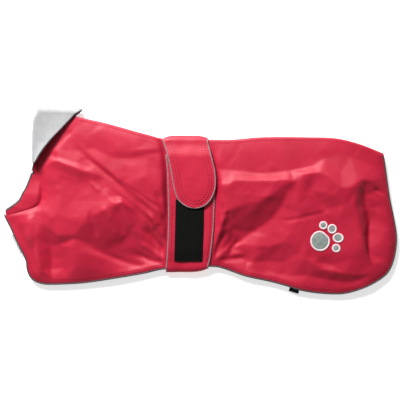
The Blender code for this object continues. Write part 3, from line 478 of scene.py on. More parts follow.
# --------------------------------------------------------------- heights ----
def fold_height(x, y, fold):
    """One ridge or trough over the plan."""
    x0, y0, x1, y1, bow, rise, left, right, sharp = fold
    length = math.hypot(x1 - x0, y1 - y0)
    ux, uy = (x1 - x0) / length, (y1 - y0) / length
    along = ((x - x0) * ux + (y - y0) * uy) / length
    across = (y - y0) * ux - (x - x0) * uy
    middle = np.clip(along, 0, 1)
    across = across - bow * 4 * middle * (1 - middle)
    width = np.where(across > 0, left, right)
    near, far = (ease(end, -0.5 * FOLD_FADE, FOLD_FADE) for end in (along, 1 - along))
    soft = np.exp(-(across / width) ** 2)
    slope = 1 - (np.sqrt(across ** 2 + CREST ** 2) - CREST) / (TENT * width)
    tent = 0.5 * (slope + np.sqrt(slope ** 2 + FOOT ** 2)) - 0.25 * FOOT ** 2
    return FOLD_DEPTH * rise * near * far * ((1 - sharp) * soft + sharp * np.maximum(tent, 0))


def facet_field():
    """Heights over a regular plan grid, flat between the lines, then softened."""
    index, edges = {}, []
    for line in (*LINES, *((spot,) for spot in SPOTS)):
        run = [index.setdefault(place[:2], (len(index), place[2]))[0] for place in line]
        edges += zip(run, run[1:])
    rim = np.vstack([smooth(EDGE, RIM_STEP), SPINE_CURVE[::3], SEAM_CURVE[::3]])
    plan = np.vstack([(np.array(list(index)) - PIXEL_ZERO) * (PIXEL, -PIXEL), rim])
    height = np.concatenate([[level for _, level in index.values()], np.zeros(len(rim))])
    verts, _, faces, sources, _, _ = delaunay_2d_cdt(
        [Vector(place) for place in plan.tolist()], edges, [], 0, 0.01)
    verts = np.array([tuple(v) for v in verts])
    level = np.array([height[group].mean() if group else np.nan for group in sources])
    for k in np.where(np.isnan(level))[0]:
        near = np.argsort(np.hypot(*(plan - verts[k]).T))[:2]
        level[k] = height[near].mean()
    mesh_x, mesh_y = np.meshgrid(*(np.arange(-half, half + 1.0) for half in (FIELD_X, FIELD_Y)))
    field = np.zeros(mesh_x.shape)
    for a, b, c in faces:
        (ax, ay), (bx, by), (cx, cy) = verts[a], verts[b], verts[c]
        area = (bx - ax) * (cy - ay) - (cx - ax) * (by - ay)
        if abs(area) < TINY:
            continue
        u = ((bx - mesh_x) * (cy - mesh_y) - (cx - mesh_x) * (by - mesh_y)) / area
        v = ((cx - mesh_x) * (ay - mesh_y) - (ax - mesh_x) * (cy - mesh_y)) / area
        inside = (u >= -TINY) & (v >= -TINY) & (u + v <= 1 + TINY)
        field[inside] = (u * level[a] + v * level[b] + (1 - u - v) * level[c])[inside]
    kernel = np.exp(-(np.arange(-BLUR_REACH, BLUR_REACH + 1) / BLUR) ** 2 / 2)
    kernel /= kernel.sum()
    for axis in (0, 1):
        field = np.apply_along_axis(np.convolve, axis, field, kernel, "same")
    return field


FACETS = facet_field()


def facets(x, y):
    """Height of the flat faces over the plan."""
    u = np.clip(x + FIELD_X, 0, 2 * FIELD_X - 1)
    v = np.clip(y + FIELD_Y, 0, 2 * FIELD_Y - 1)
    i, j = np.floor(v).astype(int), np.floor(u).astype(int)
    s, t = v - i, u - j
    low = FACETS[i, j] * (1 - t) + FACETS[i, j + 1] * t
    high = FACETS[i + 1, j] * (1 - t) + FACETS[i + 1, j + 1] * t
    return FACET_DEPTH * (low * (1 - s) + high * s)


def crumple(x, y):
    """Small flat facets between short random creases."""
    source = np.random.default_rng(29)
    parting, before, behind, spread = CRUMPLE_TURN
    total = np.zeros(np.shape(x))
    for _ in range(CRUMPLES):
        px, py = source.uniform(*CRUMPLE_X), source.uniform(*CRUMPLE_Y)
        angle = source.normal(before if px < parting else behind, spread)
        length, width = source.uniform(*CRUMPLE_LENGTH), source.uniform(*CRUMPLE_WIDTH)
        rise = source.choice((-1, 1)) * source.uniform(*CRUMPLE_RISE)
        dx, dy = 0.5 * length * math.cos(angle), 0.5 * length * math.sin(angle)
        bow, lean = source.uniform(*CRUMPLE_BOW), source.uniform(*CRUMPLE_LEAN)
        total = total + fold_height(x, y, (px - dx, py - dy, px + dx, py + dy,
                                           bow, rise, width, width * lean, 1))
    return total


def bed_level(y):
    """Top of the cloth under the strap."""
    return BELT_HEM_LEVEL + (BELT_LEVEL - BELT_HEM_LEVEL) * ease(y, *BED_SLOPE)


def beside_belt(x, y):
    """How far a place lies outside the strap, zero under it."""
    left = np.interp(y, *np.transpose(STRAP_LEFT)) - STRAP_EASE
    right = np.interp(y, *np.transpose(STRAP_RIGHT)) + STRAP_EASE
    return np.maximum(np.maximum(left - x, x - right), 0)


def belt_share(x, y):
    """One under the strap; the cloth puffs up on both sides of it."""
    wave, scale = BED_WAVE
    reach = np.where(x < 0, *BED_FADE) * (1 + wave * wander(0.4 * x, y, scale, 9))
    return np.clip(1 - beside_belt(x, y) / reach, 0, 1) ** BED_POWER


def upper_height(x, y):
    """Top of the upper half over the plan."""
    to_edge = distance_to(EDGE_CURVE, x, y)
    to_seam = distance_to(SEAM_CURVE, x, y)
    to_spine = np.maximum(spine_y(x) - y, 0)
    level = BODY_LEVEL + (SPINE_LEVEL - BODY_LEVEL) * np.exp(-to_spine / SPINE_REACH)
    level = level + (NECK_LEVEL - level) * np.exp(-to_seam / NECK_REACH)
    shift_x, shift_y = (SHIFT * wander(x, y, SHIFT_WAVE, seed) for seed in (3, 4))
    broad, fine = SHIFT_SHARES
    folds = facets(x + broad * shift_x, y + broad * shift_y)
    folds = folds + sum(fold_height(x + fine * shift_x, y + fine * shift_y, fold)
                        for fold in CREASES)
    folds = folds + crumple(x, y)
    px, py, radius = PAW_CALM
    calm = 1 - PAW_SHARE * np.exp(-(((x - px) ** 2 + (y - py) ** 2) / radius ** 2) ** 2)
    share, from_edge, from_seam, from_spine = FOLD_CALM
    quiet = (1 - share * np.exp(-to_edge / from_edge)) * (1 - share * np.exp(-to_seam / from_seam))
    quiet = quiet * (1 - np.exp(-to_spine / from_spine)) * calm
    dip, reach = SEAM_DIP
    level = level - dip * np.exp(-(to_seam / reach) ** 2) * (1 - ease(y, *SEAM_DIP_END))
    folds = folds * quiet * ease(beside_belt(x, y), *BELT_NIP)
    hem = HEM_LEVEL + sum(rise * np.exp(-((x - hx) ** 2 + (y - hy) ** 2) / radius ** 2)
                          for hx, hy, rise, radius in HEM_LIFTS)
    hem = hem + (SPINE_LEVEL - hem) * np.exp(-to_spine / REAR_TOP[0]) * ease(x, 0, REAR_TOP[1])
    level = hem + (level - hem) * (1 - np.exp(-to_edge / HEM_REACH))
    bed = belt_share(x, y)
    return level * (1 - bed) + bed_level(y) * bed + folds * (1 - np.exp(-to_edge / FOLD_HEM))


def lower_lift(x, y):
    """Underside of the lower half, raised by what lies beneath it."""
    left, right = UNDER_BELT
    belt = ease(x, left - UNDER_FADE, left) * (1 - ease(x, right, right + UNDER_FADE))
    (free_x, free_y), (low_x, low_y) = FREE_CURVE[0], FREE_CURVE[-1]
    length = math.hypot(low_x - free_x, low_y - free_y)
    beyond = ((y - free_y) * (low_x - free_x) - (x - free_x) * (low_y - free_y)) / length
    collar = (1 - ease(beyond, *LIFT_ACROSS)) * ease(y, *LIFT_DOWN)
    return (BELT_PLY + GAP + TOUCH) * belt + COLLAR_LIFT * collar


# ---------------------------------------------------------------- meshes ----
def link(piece):
    bpy.context.scene.collection.objects.link(piece)
    return piece


def finished(name, shape, material):
    """The smooth piece made of a bmesh, which is freed."""
    mesh = bpy.data.meshes.new(name)
    shape.to_mesh(mesh)
    shape.free()
    mesh.shade_smooth()
    mesh.materials.append(material)
    return link(bpy.data.objects.new(name, mesh))


def ring(shape, centre, across, upward, sides):
    """Vertices on an ellipse round a place."""
    angles = (math.tau * s / sides for s in range(sides))
    return [shape.verts.new((centre + math.cos(a) * across + math.sin(a) * upward) * MM)
            for a in angles]


def bridge(shape, near, far):
    """A band of faces between two rings."""
    return [shape.faces.new(corners)
            for corners in zip(near, near[1:] + near[:1], far[1:] + far[:1], far)]


def normals(grid):
    down = np.gradient(grid, axis=0)
    along = np.gradient(grid, axis=1)
    return unit(np.cross(down, along))


def shell(name, grid, thickness, side, material):
    """A closed thin shell between the grid and the grid moved along its normals."""
    rows, columns = grid.shape[:2]
    other = grid + side * thickness * normals(grid)
    top, low = (grid, other) if side < 0 else (other, grid)
    points = np.concatenate([top.reshape(-1, 3), low.reshape(-1, 3)]) * MM
    count = rows * columns
    index = np.arange(count).reshape(rows, columns)
    a, b, c, d = index[:-1, :-1], index[1:, :-1], index[1:, 1:], index[:-1, 1:]
    outer = np.stack([a, b, c, d], axis=-1).reshape(-1, 4)
    inner = np.stack([a, d, c, b], axis=-1).reshape(-1, 4) + count
    rim = np.concatenate([index[0, :-1], index[:-1, -1], index[-1, :0:-1], index[:0:-1, 0]])
    after = np.roll(rim, -1)
    side_faces = np.stack([rim, after, after + count, rim + count], axis=-1)
    mesh = bpy.data.meshes.new(name)
    mesh.from_pydata(points.tolist(), [], np.concatenate([outer, inner, side_faces]).tolist())
    mesh.shade_smooth()
    mesh.set_sharp_from_angle(angle=SHARP_EDGE)
    mesh.materials.append(material)
    return link(bpy.data.objects.new(name, mesh))


def cord(name, points, radius, material, sides=12):
    """A piping tube with round ends through the points, with a UV along it."""
    run = unit(np.gradient(points, axis=0))
    across = np.cross(UP, run)
    upright = np.linalg.norm(across, axis=1, keepdims=True) < 1e-3
    across = np.where(upright, SIDEWAYS, unit(across))
    for k in range(1, len(across)):
        if np.dot(across[k], across[k - 1]) < 0:
            across[k] *= -1
    upward = np.cross(run, across)
    length = travel(points)
    reach = np.full((len(points), 1), float(radius))
    reach[[0, -1]] *= CORD_END
    shape = bmesh.new()
    layer = shape.loops.layers.uv.new("cord")
    rings = [ring(shape, *place, sides) for place in zip(points, reach * across, reach * upward)]
    for k, pair in enumerate(zip(rings, rings[1:])):
        for s, face in enumerate(bridge(shape, *pair)):
            corners = ((s, k), (s + 1, k), (s + 1, k + 1), (s, k + 1))
            for loop, (u, v) in zip(face.loops, corners):
                loop[layer].uv = (u / sides, length[v] / CORD_UV)
    for end, order in ((rings[0], -1), (rings[-1], 1)):
        centre = shape.verts.new(sum((v.co for v in end), Vector()) / sides)
        for s in range(sides):
            pair = (end[s], end[(s + 1) % sides])
            shape.faces.new((centre, *pair[::order]))
    bmesh.ops.recalc_face_normals(shape, faces=shape.faces)
    return finished(name, shape, material)


def stitches(name, rows, material):
    """Rows of thread over runs of x, y, z on the cloth."""
    arch, sunk = THREAD_ARCH
    shape = bmesh.new()
    for points in rows:
        run = travel(points)
        start = STITCH_START
        while start + STITCH < run[-1]:
            places = [np.array([np.interp(start + t * STITCH, run, column) for column in points.T])
                      for t, _ in THREAD_PROFILE]
            ahead = unit(places[-1] - places[0])
            across = unit(np.cross(UP, ahead))
            upward = np.cross(ahead, across)
            rings = []
            for (t, size), place in zip(THREAD_PROFILE, places):
                rise = THREAD_RADIUS * (arch * math.sin(math.pi * t) - sunk)
                size *= THREAD_RADIUS
                rings.append(ring(shape, place + upward * rise, size * across, size * upward,
                                  THREAD_SIDES))
            for pair in zip(rings, rings[1:]):
                bridge(shape, *pair)
            shape.faces.new(rings[0][::-1])
            shape.faces.new(rings[-1])
            start += STITCH + STITCH_GAP
    return finished(name, shape, material)


# ------------------------------------------------------------- materials ----
class Paint:
    """A principled material and short ways to add procedural detail to it."""

    def __init__(self, name, colour, roughness, **inputs):
        self.material = bpy.data.materials.new(name)
        self.material.use_nodes = True
        self.material.diffuse_color = (*colour, 1)
        self.tree = self.material.node_tree
        self.shader = self.tree.nodes["Principled BSDF"]
        for key, value in {"Base Color": (*colour, 1), "Roughness": roughness, **inputs}.items():
            self.shader.inputs[key.replace("_", " ")].default_value = value
        self.place = self.tree.nodes.new("ShaderNodeTexCoord")
        self.height = None

    def node(self, kind, **settings):
        node = self.tree.nodes.new(kind)
        for key, value in settings.items():
            if key in node.inputs:
                node.inputs[key].default_value = value
            else:
                setattr(node, key, value)
        return node

    def join(self, out, into):
        self.tree.links.new(out, into)

    def coordinates(self, scale=(1, 1, 1), turn=0, source="Object"):
        mapping = self.node("ShaderNodeMapping", Scale=scale, Rotation=(0, 0, turn))
        self.join(self.place.outputs[source], mapping.inputs["Vector"])
        return mapping.outputs["Vector"]

    def noise(self, size, detail, scale=(1, 1, 1), turn=0, distortion=0):
        """Noise whose blobs are about `size` metres."""
        noise = self.node("ShaderNodeTexNoise", Scale=1 / size, Detail=detail,
                          Distortion=distortion)
        self.join(self.coordinates(scale, turn), noise.inputs["Vector"])
        return noise.outputs["Fac"]

    def wave(self, size, turn, source="Object"):
        """Threads `size` metres apart."""
        wave = self.node("ShaderNodeTexWave", Scale=math.pi / (10 * size) * 2)
        self.join(self.coordinates(turn=turn, source=source), wave.inputs["Vector"])
        return wave.outputs["Fac"]

    def colours(self, value, *stops):
        """Colour by a 0 to 1 value: stops are a place and a colour."""
        ramp = self.node("ShaderNodeValToRGB")
        elements = ramp.color_ramp.elements
        while len(elements) < len(stops):
            elements.new(0.5)
        for element, (place, colour) in zip(elements, stops):
            element.position = place
            element.color = (*colour, 1)
        self.join(value, ramp.inputs["Fac"])
        self.join(ramp.outputs["Color"], self.shader.inputs["Base Color"])

    def rough(self, value, low, high):
        """Spread a 0 to 1 value between two roughnesses."""
        spread = self.node("ShaderNodeMapRange")
        spread.inputs["To Min"].default_value = low
        spread.inputs["To Max"].default_value = high
        self.join(value, spread.inputs["Value"])
        self.join(spread.outputs["Result"], self.shader.inputs["Roughness"])

    def bump(self, value, distance, strength):
        bump = self.node("ShaderNodeBump", Strength=strength, Distance=distance)
        self.join(value, bump.inputs["Height"])
        if self.height is not None:
            self.join(self.height, bump.inputs["Normal"])
        self.height = bump.outputs["Normal"]
        self.join(self.height, self.shader.inputs["Normal"])


def linear(red, green, blue):
    """A colour given in the steps of a screen, as light."""
    return tuple((v / 255 / 12.92) if v <= 10 else ((v / 255 + 0.055) / 1.055) ** 2.4
                 for v in (red, green, blue))


def mottled(name, base, roughness, size, detail, dark, light, bumps=(), **inputs):
    """Blobs of two shades, each a place and a colour; bumps: size, detail, distance, strength."""
    paint = Paint(name, base, roughness, **inputs)
    paint.colours(paint.noise(size, detail), dark, light)
    for size, detail, distance, strength in bumps:
        paint.bump(paint.noise(size, detail), distance, strength)
    return paint


def coated_nylon(name, lighter=1, calm=1):
    """Red coated cloth; `calm` scales its bumps, `lighter` its colour."""
    red = linear(191, 23, 56)
    paint = Paint(name, red, 0.36, Specular_IOR_Level=0.45)
    dark, middle, light = (tuple(lighter * v for v in shade)
                           for shade in (linear(184, 19, 51), red, linear(197, 27, 60)))
    paint.colours(paint.noise(0.045, 3), (0.3, dark), (0.5, middle), (0.72, light))
    paint.rough(paint.noise(0.012, 4), 0.4, 0.54)
    paint.bump(paint.noise(0.02, 2.5, distortion=0.8), 0.0009 * calm, 0.25)
    cells = paint.node("ShaderNodeTexVoronoi", feature="DISTANCE_TO_EDGE", Scale=1 / 0.034)
    warp = paint.node("ShaderNodeTexNoise", Scale=18, Detail=2)
    paint.join(paint.coordinates(), warp.inputs["Vector"])
    mixed = paint.node("ShaderNodeVectorMath", operation="MULTIPLY_ADD")
    mixed.inputs[1].default_value = (0.03, 0.03, 0)
    paint.join(warp.outputs["Color"], mixed.inputs[0])
    paint.join(paint.coordinates(turn=0.5), mixed.inputs[2])
    paint.join(mixed.outputs["Vector"], cells.inputs["Vector"])
    paint.bump(cells.outputs["Distance"], 0.0016 * calm, 0.25)
    wrinkle = paint.noise(0.008, 2, scale=(1, 2.6, 1), turn=math.radians(38))
    paint.bump(wrinkle, 0.00025 * calm, 0.25)
    for turn in (0, math.pi / 2):
        paint.bump(paint.wave(0.0006, turn), 0.00004, 0.5)
    return paint.material


def fleece(name):
    return mottled(name, linear(166, 166, 167), 0.92, 0.009, 4,
                   (0.3, linear(161, 161, 162)), (0.7, linear(171, 171, 172)),
                   ((0.0011, 4, 0.0004, 0.6), (0.02, 2, 0.001, 0.3)),
                   Sheen_Weight=0.25, Sheen_Roughness=0.5).material


def piping(name, shade):
    dark, light = (tuple(min(1, v * share) for v in shade) for share in (0.75, 1.25))
    paint = mottled(name, shade, 0.5, 0.004, 3, (0.3, dark), (0.7, light),
                    Specular_IOR_Level=0.5)
    paint.bump(paint.wave(0.09, math.radians(35), source="UV"), 0.00012, 0.8)
    paint.bump(paint.noise(0.003, 3), 0.0003, 0.4)
    return paint.material


def loop_tape(name, dark, light, gloss=0.4, sheen=0.15):
    return mottled(name, dark, 0.95, 0.0016, 5, (0.35, dark), (0.75, light),
                   ((0.0009, 5, 0.0006, 1),), Sheen_Weight=sheen, Specular_IOR_Level=gloss).material


def reflective(name, dark, light, roughness):
    paint = mottled(name, dark, roughness, 0.005, 3, (0.3, dark), (0.7, light),
                    Specular_IOR_Level=0.6)
    cells = paint.node("ShaderNodeTexVoronoi", Scale=1 / 0.0007)
    paint.join(paint.coordinates(), cells.inputs["Vector"])
    paint.bump(cells.outputs["Distance"], 0.0001, 0.6)
    return paint.material


def woven(name, shade):
    paint = mottled(name, shade, 0.7, 0.002, 3, (0.3, shade), (0.7, tuple(v * 2.2 for v in shade)))
    paint.bump(paint.wave(0.0005, 0), 0.00008, 0.9)
    paint.bump(paint.wave(0.0004, math.pi / 2), 0.00006, 0.9)
    return paint.material


def thread(name):
    paint = mottled(name, linear(140, 16, 40), 0.6, 0.001, 2,
                    (0.3, linear(128, 12, 34)), (0.7, linear(156, 22, 46)))
    paint.bump(paint.noise(0.0005, 2, scale=(3, 1, 1)), 0.0001, 0.6)
    return paint.material


def pale_floor(name):
    return mottled(name, (0.9,) * 3, 0.75, 0.5, 2, (0.3, (0.89,) * 3), (0.7, (0.91,) * 3),
                   ((0.004, 3, 0.0001, 0.1),), Specular_IOR_Level=0.2,
                   Emission_Color=(1, 1, 1, 1), Emission_Strength=0.6).material


# ------------------------------------------------------------------ body ----
def body_plan(edge, down):
    """Plan points of one half inside `edge`, rows from spine to hem."""
    chest_end, rear_end = (np.argmin(np.hypot(*(edge - EDGE[corner]).T))
                           for corner in (CHEST_CORNER, REAR_CORNER))
    hem = edge[chest_end:rear_end + 1]
    rear = edge[rear_end:][::-1]
    left = np.vstack([SEAM_CURVE, edge[:chest_end + 1][1:]])
    top_x, low_x = (np.concatenate([np.linspace(start, STRAIGHT[0], FANS[0], endpoint=False),
                                    STRAIGHT,
                                    np.linspace(STRAIGHT[-1], end, FANS[1] + 1)[1:]])
                    for start, end in ((SPINE[0][0], rear[0, 0]), (hem[0, 0], hem[-1, 0])))
    top_y = spine_y(top_x) - ROLL
    low_y = np.interp(low_x, hem[:, 0], hem[:, 1])
    v = down[:, None]
    x = (1 - v) * top_x + v * low_x
    y = (1 - v) * top_y + v * low_y
    left_x = np.interp(-y[:, 0], -left[:, 1], left[:, 0])
    rear_x = np.interp(-y[:, -1], -rear[:, 1], rear[:, 0])
    near_left = np.clip((NECK_BLEND - low_x) / (NECK_BLEND - low_x[0]), 0, 1) ** 2
    near_rear = np.clip((low_x - TAIL_BLEND) / (low_x[-1] - TAIL_BLEND), 0, 1) ** 2
    x = x + (left_x - x[:, 0])[:, None] * near_left + (rear_x - x[:, -1])[:, None] * near_rear
    return x, y


def square(value):
    """A squarer turn: a power of the sine, with its sign."""
    return math.copysign(abs(value) ** ROLL_POWER, value)


def coat_body(material):
    """One cut folded at the spine: lower hem, spine fold, upper hem."""
    x, y = body_plan(inset(EDGE_CURVE, BINDING_RADIUS), UPPER_ROWS)
    upper = np.stack([x, y, upper_height(x, y)], axis=-1)
    x, y = body_plan(inset(EDGE_CURVE, BINDING_RADIUS + LOWER_INSET), LOWER_ROWS)
    crinkle = sum(rise * np.maximum(wander(x, y, scale, seed), 0) for scale, seed, rise in CRINKLES)
    crinkle = crinkle * (1 - np.exp(-distance_to(EDGE_CURVE, x, y) / CRINKLE_HEM))
    lower = np.stack([x, y, lower_lift(x, y) + crinkle], axis=-1)
    top, low = upper[0], lower[0]
    middle, half = (top[:, 2] + low[:, 2]) / 2, (top[:, 2] - low[:, 2]) / 2
    turn = [np.stack([top[:, 0], top[:, 1] + ROLL * square(math.sin(angle)),
                      middle + half * square(math.cos(angle))], axis=-1)
            for angle in np.linspace(math.pi, 0, ROLL_ROWS + 2)[1:-1]]
    return shell("coat_body", np.concatenate([lower[::-1], turn, upper]), WALL, -1, material)


# ---------------------------------------------------------------- collar ----
def collar_station(row, seam, stand_level, fall_level, free_level, clear, leaf=None):
    """Points across the collar at one station, from neckline to free edge."""
    turn, free, over = row[2:4], row[4:6], row[6]
    if over < 0.02:
        t = np.linspace(0, 1, STAND_POINTS + TURN_POINTS + FALL_POINTS)[:, None]
        middle, half, rise, crest = COLLAR_BULGE
        swell = np.where(t < crest, t / crest, 1 - (np.maximum(t - crest, 0) / (1 - crest)) ** 1.6)
        swell = swell * rise * math.exp(-((row[1] - middle) / half) ** 2)
        swell = swell * np.sign(clear - stand_level)
        return np.hstack([seam + (free - seam) * t, stand_level + (clear - stand_level) * t
                          + np.maximum(swell, 0)])
    outward = (turn - seam) / np.linalg.norm(turn - seam)
    centre = turn - outward * TURN_WIDTH
    rise = (fall_level - stand_level) / 2
    points = [(*(seam + (centre - seam) * i / STAND_POINTS), stand_level)
              for i in range(STAND_POINTS)]
    for i in range(TURN_POINTS):
        angle = math.pi * over * i / (TURN_POINTS - 1)
        plan = centre + outward * TURN_WIDTH * math.sin(angle)
        points.append((*plan, stand_level + rise * (1 - math.cos(angle))))
    start = np.array(points[-1])
    end = np.array([*free, free_level])
    if over <= 0.98:
        reach = leaf or np.linalg.norm(free - turn)
        lean = math.pi * over
        end = start + reach * np.array([*(outward * math.cos(lean)),
                                        math.sin(lean) * np.sign(rise)])
    points += [start + (end - start) * i / FALL_POINTS for i in range(1, FALL_POINTS + 1)]
    return np.array(points)


def height_at(height, place):
    """The height function's value at one place."""
    return float(height(*place[:, None])[0])


def collar_grid(upper):
    """Surface between the collar's two layers, rows from spine to throat."""
    table = smooth(COLLAR, COLLAR_STEP)
    table[:, 6] = np.clip(table[:, 6], 0, 1)
    stations = []
    seams = inset(table[:, 0:2], SEAM_INSET)
    last = len(table) - 1
    half_ply = COLLAR_PLY + GAP / 2
    for index, row in enumerate(table):
        over = row[6]
        if upper:
            stand = height_at(upper_height, row[0:2]) - half_ply
            free = height_at(upper_height, row[4:6]) + half_ply + 3 * GAP
            free += LEAF_HOVER * math.sin(math.pi * min(1, index / last / HOVER_END) ** HOVER_POWER)
            turned, flat = row.copy(), row.copy()
            turned[6], flat[6] = 1, 0
            if over > 0.02:
                flat[4:6] = row[2:4]
            levels = (seams[index], stand, stand + TURN_RISE, free, stand + OPEN_RISE)
            share = ease(over, 0, 1)
            stations.append(collar_station(turned, *levels) * share
                            + collar_station(flat, *levels) * (1 - share))
        else:
            row[4:6] += np.array(LOWER_SLIVER) * (1 - ease(over, 0, 0.4)) * ease(last - index, 0, 6)
            tuck_y, radius, rise = TUCK_LIFT
            stand = height_at(lower_lift, row[0:2]) + half_ply + TOUCH
            stand += rise * math.exp(-((row[1] - tuck_y) / radius) ** 2)
            low = half_ply + 2 * TOUCH
            stations.append(collar_station(row, seams[index], stand, low, low, low, TUCK_LEAF))
    grid = np.array(stations)
    x, y, z = grid[0].T
    reach = np.abs(z - COLLAR_MID)
    reach = COLLAR_ROLL * reach / reach.max()
    shear = TIP_SHEAR * ease(np.linspace(0, 1, len(x)), TIP_SHARE, 1)
    rows = [np.stack([x + shear * math.sin(angle), y + reach * math.sin(angle),
                      COLLAR_MID + (z - COLLAR_MID) * math.cos(angle)], axis=-1)
            for angle in np.radians(COLLAR_ANGLES)]
    return np.concatenate([rows, grid])


def collar_half(half, upper, outer, lining, trim):
    """The collar's red outer, its fleece and the piping on its free edge."""
    grid = collar_grid(upper)
    apart = normals(grid) * GAP / 2
    side = 1 if upper else -1
    red = shell("collar_outer_" + half, grid - side * apart, COLLAR_PLY, -side, outer)
    grey = shell("collar_fleece_" + half, grid + side * apart, COLLAR_PLY, side, lining)
    free = grid[:, -1]
    ahead = unit(np.gradient(free, axis=0))
    outward = free - grid[:, -2]
    outward = unit(outward - ahead * np.sum(outward * ahead, axis=1, keepdims=True))
    points = free + outward * BINDING_RADIUS * COLLAR_TRIM
    edge = cord("collar_piping_" + half, points[:-1], BINDING_RADIUS, trim)
    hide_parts("collar_" + half)
    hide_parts("collar_lining_" + half)
    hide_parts("collar_binding_" + half)
    return red, grey, edge


# ------------------------------------------------------------------ belt ----
def at_level(edge, levels):
    """x of an edge given by x, y rows, at the levels of y."""
    rows = np.array(edge)[np.argsort(np.array(edge)[:, 1])]
    return np.interp(levels, rows[:, 1], rows[:, 0])


def tongue_level(y):
    drop = ease(y, TONGUE_DROP, BELT_SPINE)
    return bed_level(y) + TONGUE_TOP + (BASE_TOP - TONGUE_TOP) * drop


def belt_turn(start, end, start_angle, end_angle, steps):
    """y and z of the strap's turn from `start` out to `end` and back."""
    angles = np.radians(np.linspace(start_angle, end_angle, steps + 1))[1:-1]
    top = bed_level(start) + BASE_TOP
    return start + (end - start) * np.cos(angles), top / 2 * (1 + np.sin(angles))


def belt_path():
    """The strap's outer surface, rows of y, z, x of both edges, tongue tip to base end."""
    def part(y, z, left, right):
        return np.column_stack(np.broadcast_arrays(y, z, left, right))
    trim = BELT_BINDING_RADIUS
    edge = inset(smooth(TONGUE_EDGE, 1.2), trim)
    tip = np.argmin(edge[:, 1])
    low = edge[tip, 1]
    y = low + (BELT_SPINE - low) * np.linspace(0.0005, 1, BELT_ROWS) ** 1.7
    tongue = part(y, tongue_level(y), *(np.interp(y, side[:, 1], side[:, 0])
                                        for side in (edge[:tip + 1][::-1], edge[tip:])))
    under = np.linspace(BELT_SPINE, BELT_HEM, BELT_ROWS)
    left, right = at_level(UNDER_LEFT, under) + trim, at_level(UNDER_RIGHT, under) - trim
    base = np.linspace(BELT_HEM, BASE_END, BELT_ROWS)
    return np.vstack([
        tongue,
        part(*belt_turn(BELT_SPINE, BELT_TOP, 90, -90, 18), *tongue[-1, 2:]),
        part(under, 0, left, right),
        part(*belt_turn(BELT_HEM, BELT_BOTTOM, -90, 90, 14), left[-1], right[-1]),
        part(base, bed_level(base) + BASE_TOP, at_level(BASE_LEFT, base) + trim,
             at_level(BASE_RIGHT, base) - trim)])[::-1]


def belt_corner(y, share):
    """Rounds the strap's outline where it turns over the spine and under the hem."""
    spine = 1 - 0.3 * np.abs(2 * share - 1) ** 6
    hem = 1 - 0.42 * share ** 8 - 0.12 * share
    y = np.where(y > BELT_SPINE, BELT_SPINE + (y - BELT_SPINE) * spine, y)
    return np.where(y < BELT_HEM, BELT_HEM + (y - BELT_HEM) * hem, y)


def belt(material, trim):
    """The strap, tongue to base, and its piping."""
    path = belt_path()
    share = np.linspace(0, 1, BELT_COLUMNS)
    x = path[:, 2:3] + (path[:, 3:4] - path[:, 2:3]) * share
    y = belt_corner(path[:, 0:1], share[None, :])
    z = np.repeat(path[:, 1:2], BELT_COLUMNS, axis=1)
    grid = np.stack([x, y, z], axis=-1)
    crown = (1 - (2 * share - 1) ** 4)[None, :]
    puff = sum(rise * wander(stretch * x, y, scale, seed)
               for rise, stretch, scale, seed in BELT_PUFF)
    rise = BELT_CROWN * (crown - 1) + puff * crown * ease(z, 1, 5)
    strap = shell("belt_strap", grid + normals(grid) * rise[..., None], BELT_PLY, -1, material)
    run = unit(np.gradient(path[:, :2], axis=0))
    middle = path[:, :2] + np.stack([-run[:, 1], run[:, 0]], axis=-1) * BELT_PLY / 2
    left, right = (np.column_stack([path[:, column] + shift, belt_corner(middle[:, 0], share),
                                    middle[:, 1]])
                   for column, shift, share in ((2, -0.2, 0.0), (3, 0.2, 1.0)))
    tip = inset(smooth(TONGUE_EDGE, 1.5), BELT_BINDING_RADIUS)
    tip = np.column_stack([tip, tongue_level(tip[:, 1]) - BELT_PLY / 2])
    points = np.vstack([left[:-BELT_ROWS], tip, right[::-1][BELT_ROWS:]])
    cord_piece = cord("belt_piping", points, BELT_BINDING_RADIUS, trim, sides=10)
    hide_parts("belt_tongue", "belt_underside", "belt_base")
    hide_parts("belt_binding_tongue", "belt_binding_base_left",
                "belt_binding_base_right", "belt_binding_under_left", "belt_binding_under_right")
    return strap, cord_piece


def loop_patch(material):
    """The black tape on the strap's base, with a rough pile."""
    rows, columns = 96, 44
    y = np.linspace(*TAPE_ENDS, rows)
    left, right = at_level(TAPE_LEFT, y), at_level(TAPE_RIGHT, y)
    share = np.linspace(0, 1, columns)
    x = left[:, None] + (right - left)[:, None] * share
    y = np.repeat(y[:, None], columns, axis=1)
    rough = np.random.default_rng(11).normal(0, TAPE_PILE, x.shape)
    edge = np.minimum(1, 6 * np.minimum(share, 1 - share))[None, :]
    z = bed_level(y) + BASE_TOP + GAP + TAPE_PLY * (0.4 + 0.6 * edge) + rough * edge
    patch = shell("loop_tape", np.stack([x, y, z], axis=-1), TAPE_PLY, -1, material)
    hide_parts("belt_tape")
    return patch


# ---------------------------------------------------------- small pieces ----
def hem_piping(material):
    """Piping on the upper and the lower half, from the neck to the tail end."""
    outline = smooth(EDGE, 3)
    plan = inset(outline, BINDING_RADIUS)[1:]
    panel = inset(outline, 2 * BINDING_RADIUS)[1:]
    beyond = np.clip((plan[:, 1] - spine_y(plan[:, 0]) + ROLL) / ROLL, 0, 1)
    level = PIPING_LEVEL + (upper_height(*panel.T) - PIPING_LEVEL) * np.sqrt(1 - beyond ** 2)
    run = np.column_stack([plan, level - WALL / 2])
    upper = cord("hem_piping_upper", run, BINDING_RADIUS, material)
    plan = inset(outline, LOWER_INSET + BINDING_RADIUS)[1:-1]
    run = np.column_stack([plan, lower_lift(*plan.T) + BINDING_RADIUS + TOUCH])
    lower = cord("hem_piping_lower", run, BINDING_RADIUS, material)
    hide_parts("hem_binding_upper")
    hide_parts("hem_binding_lower")
    return upper, lower


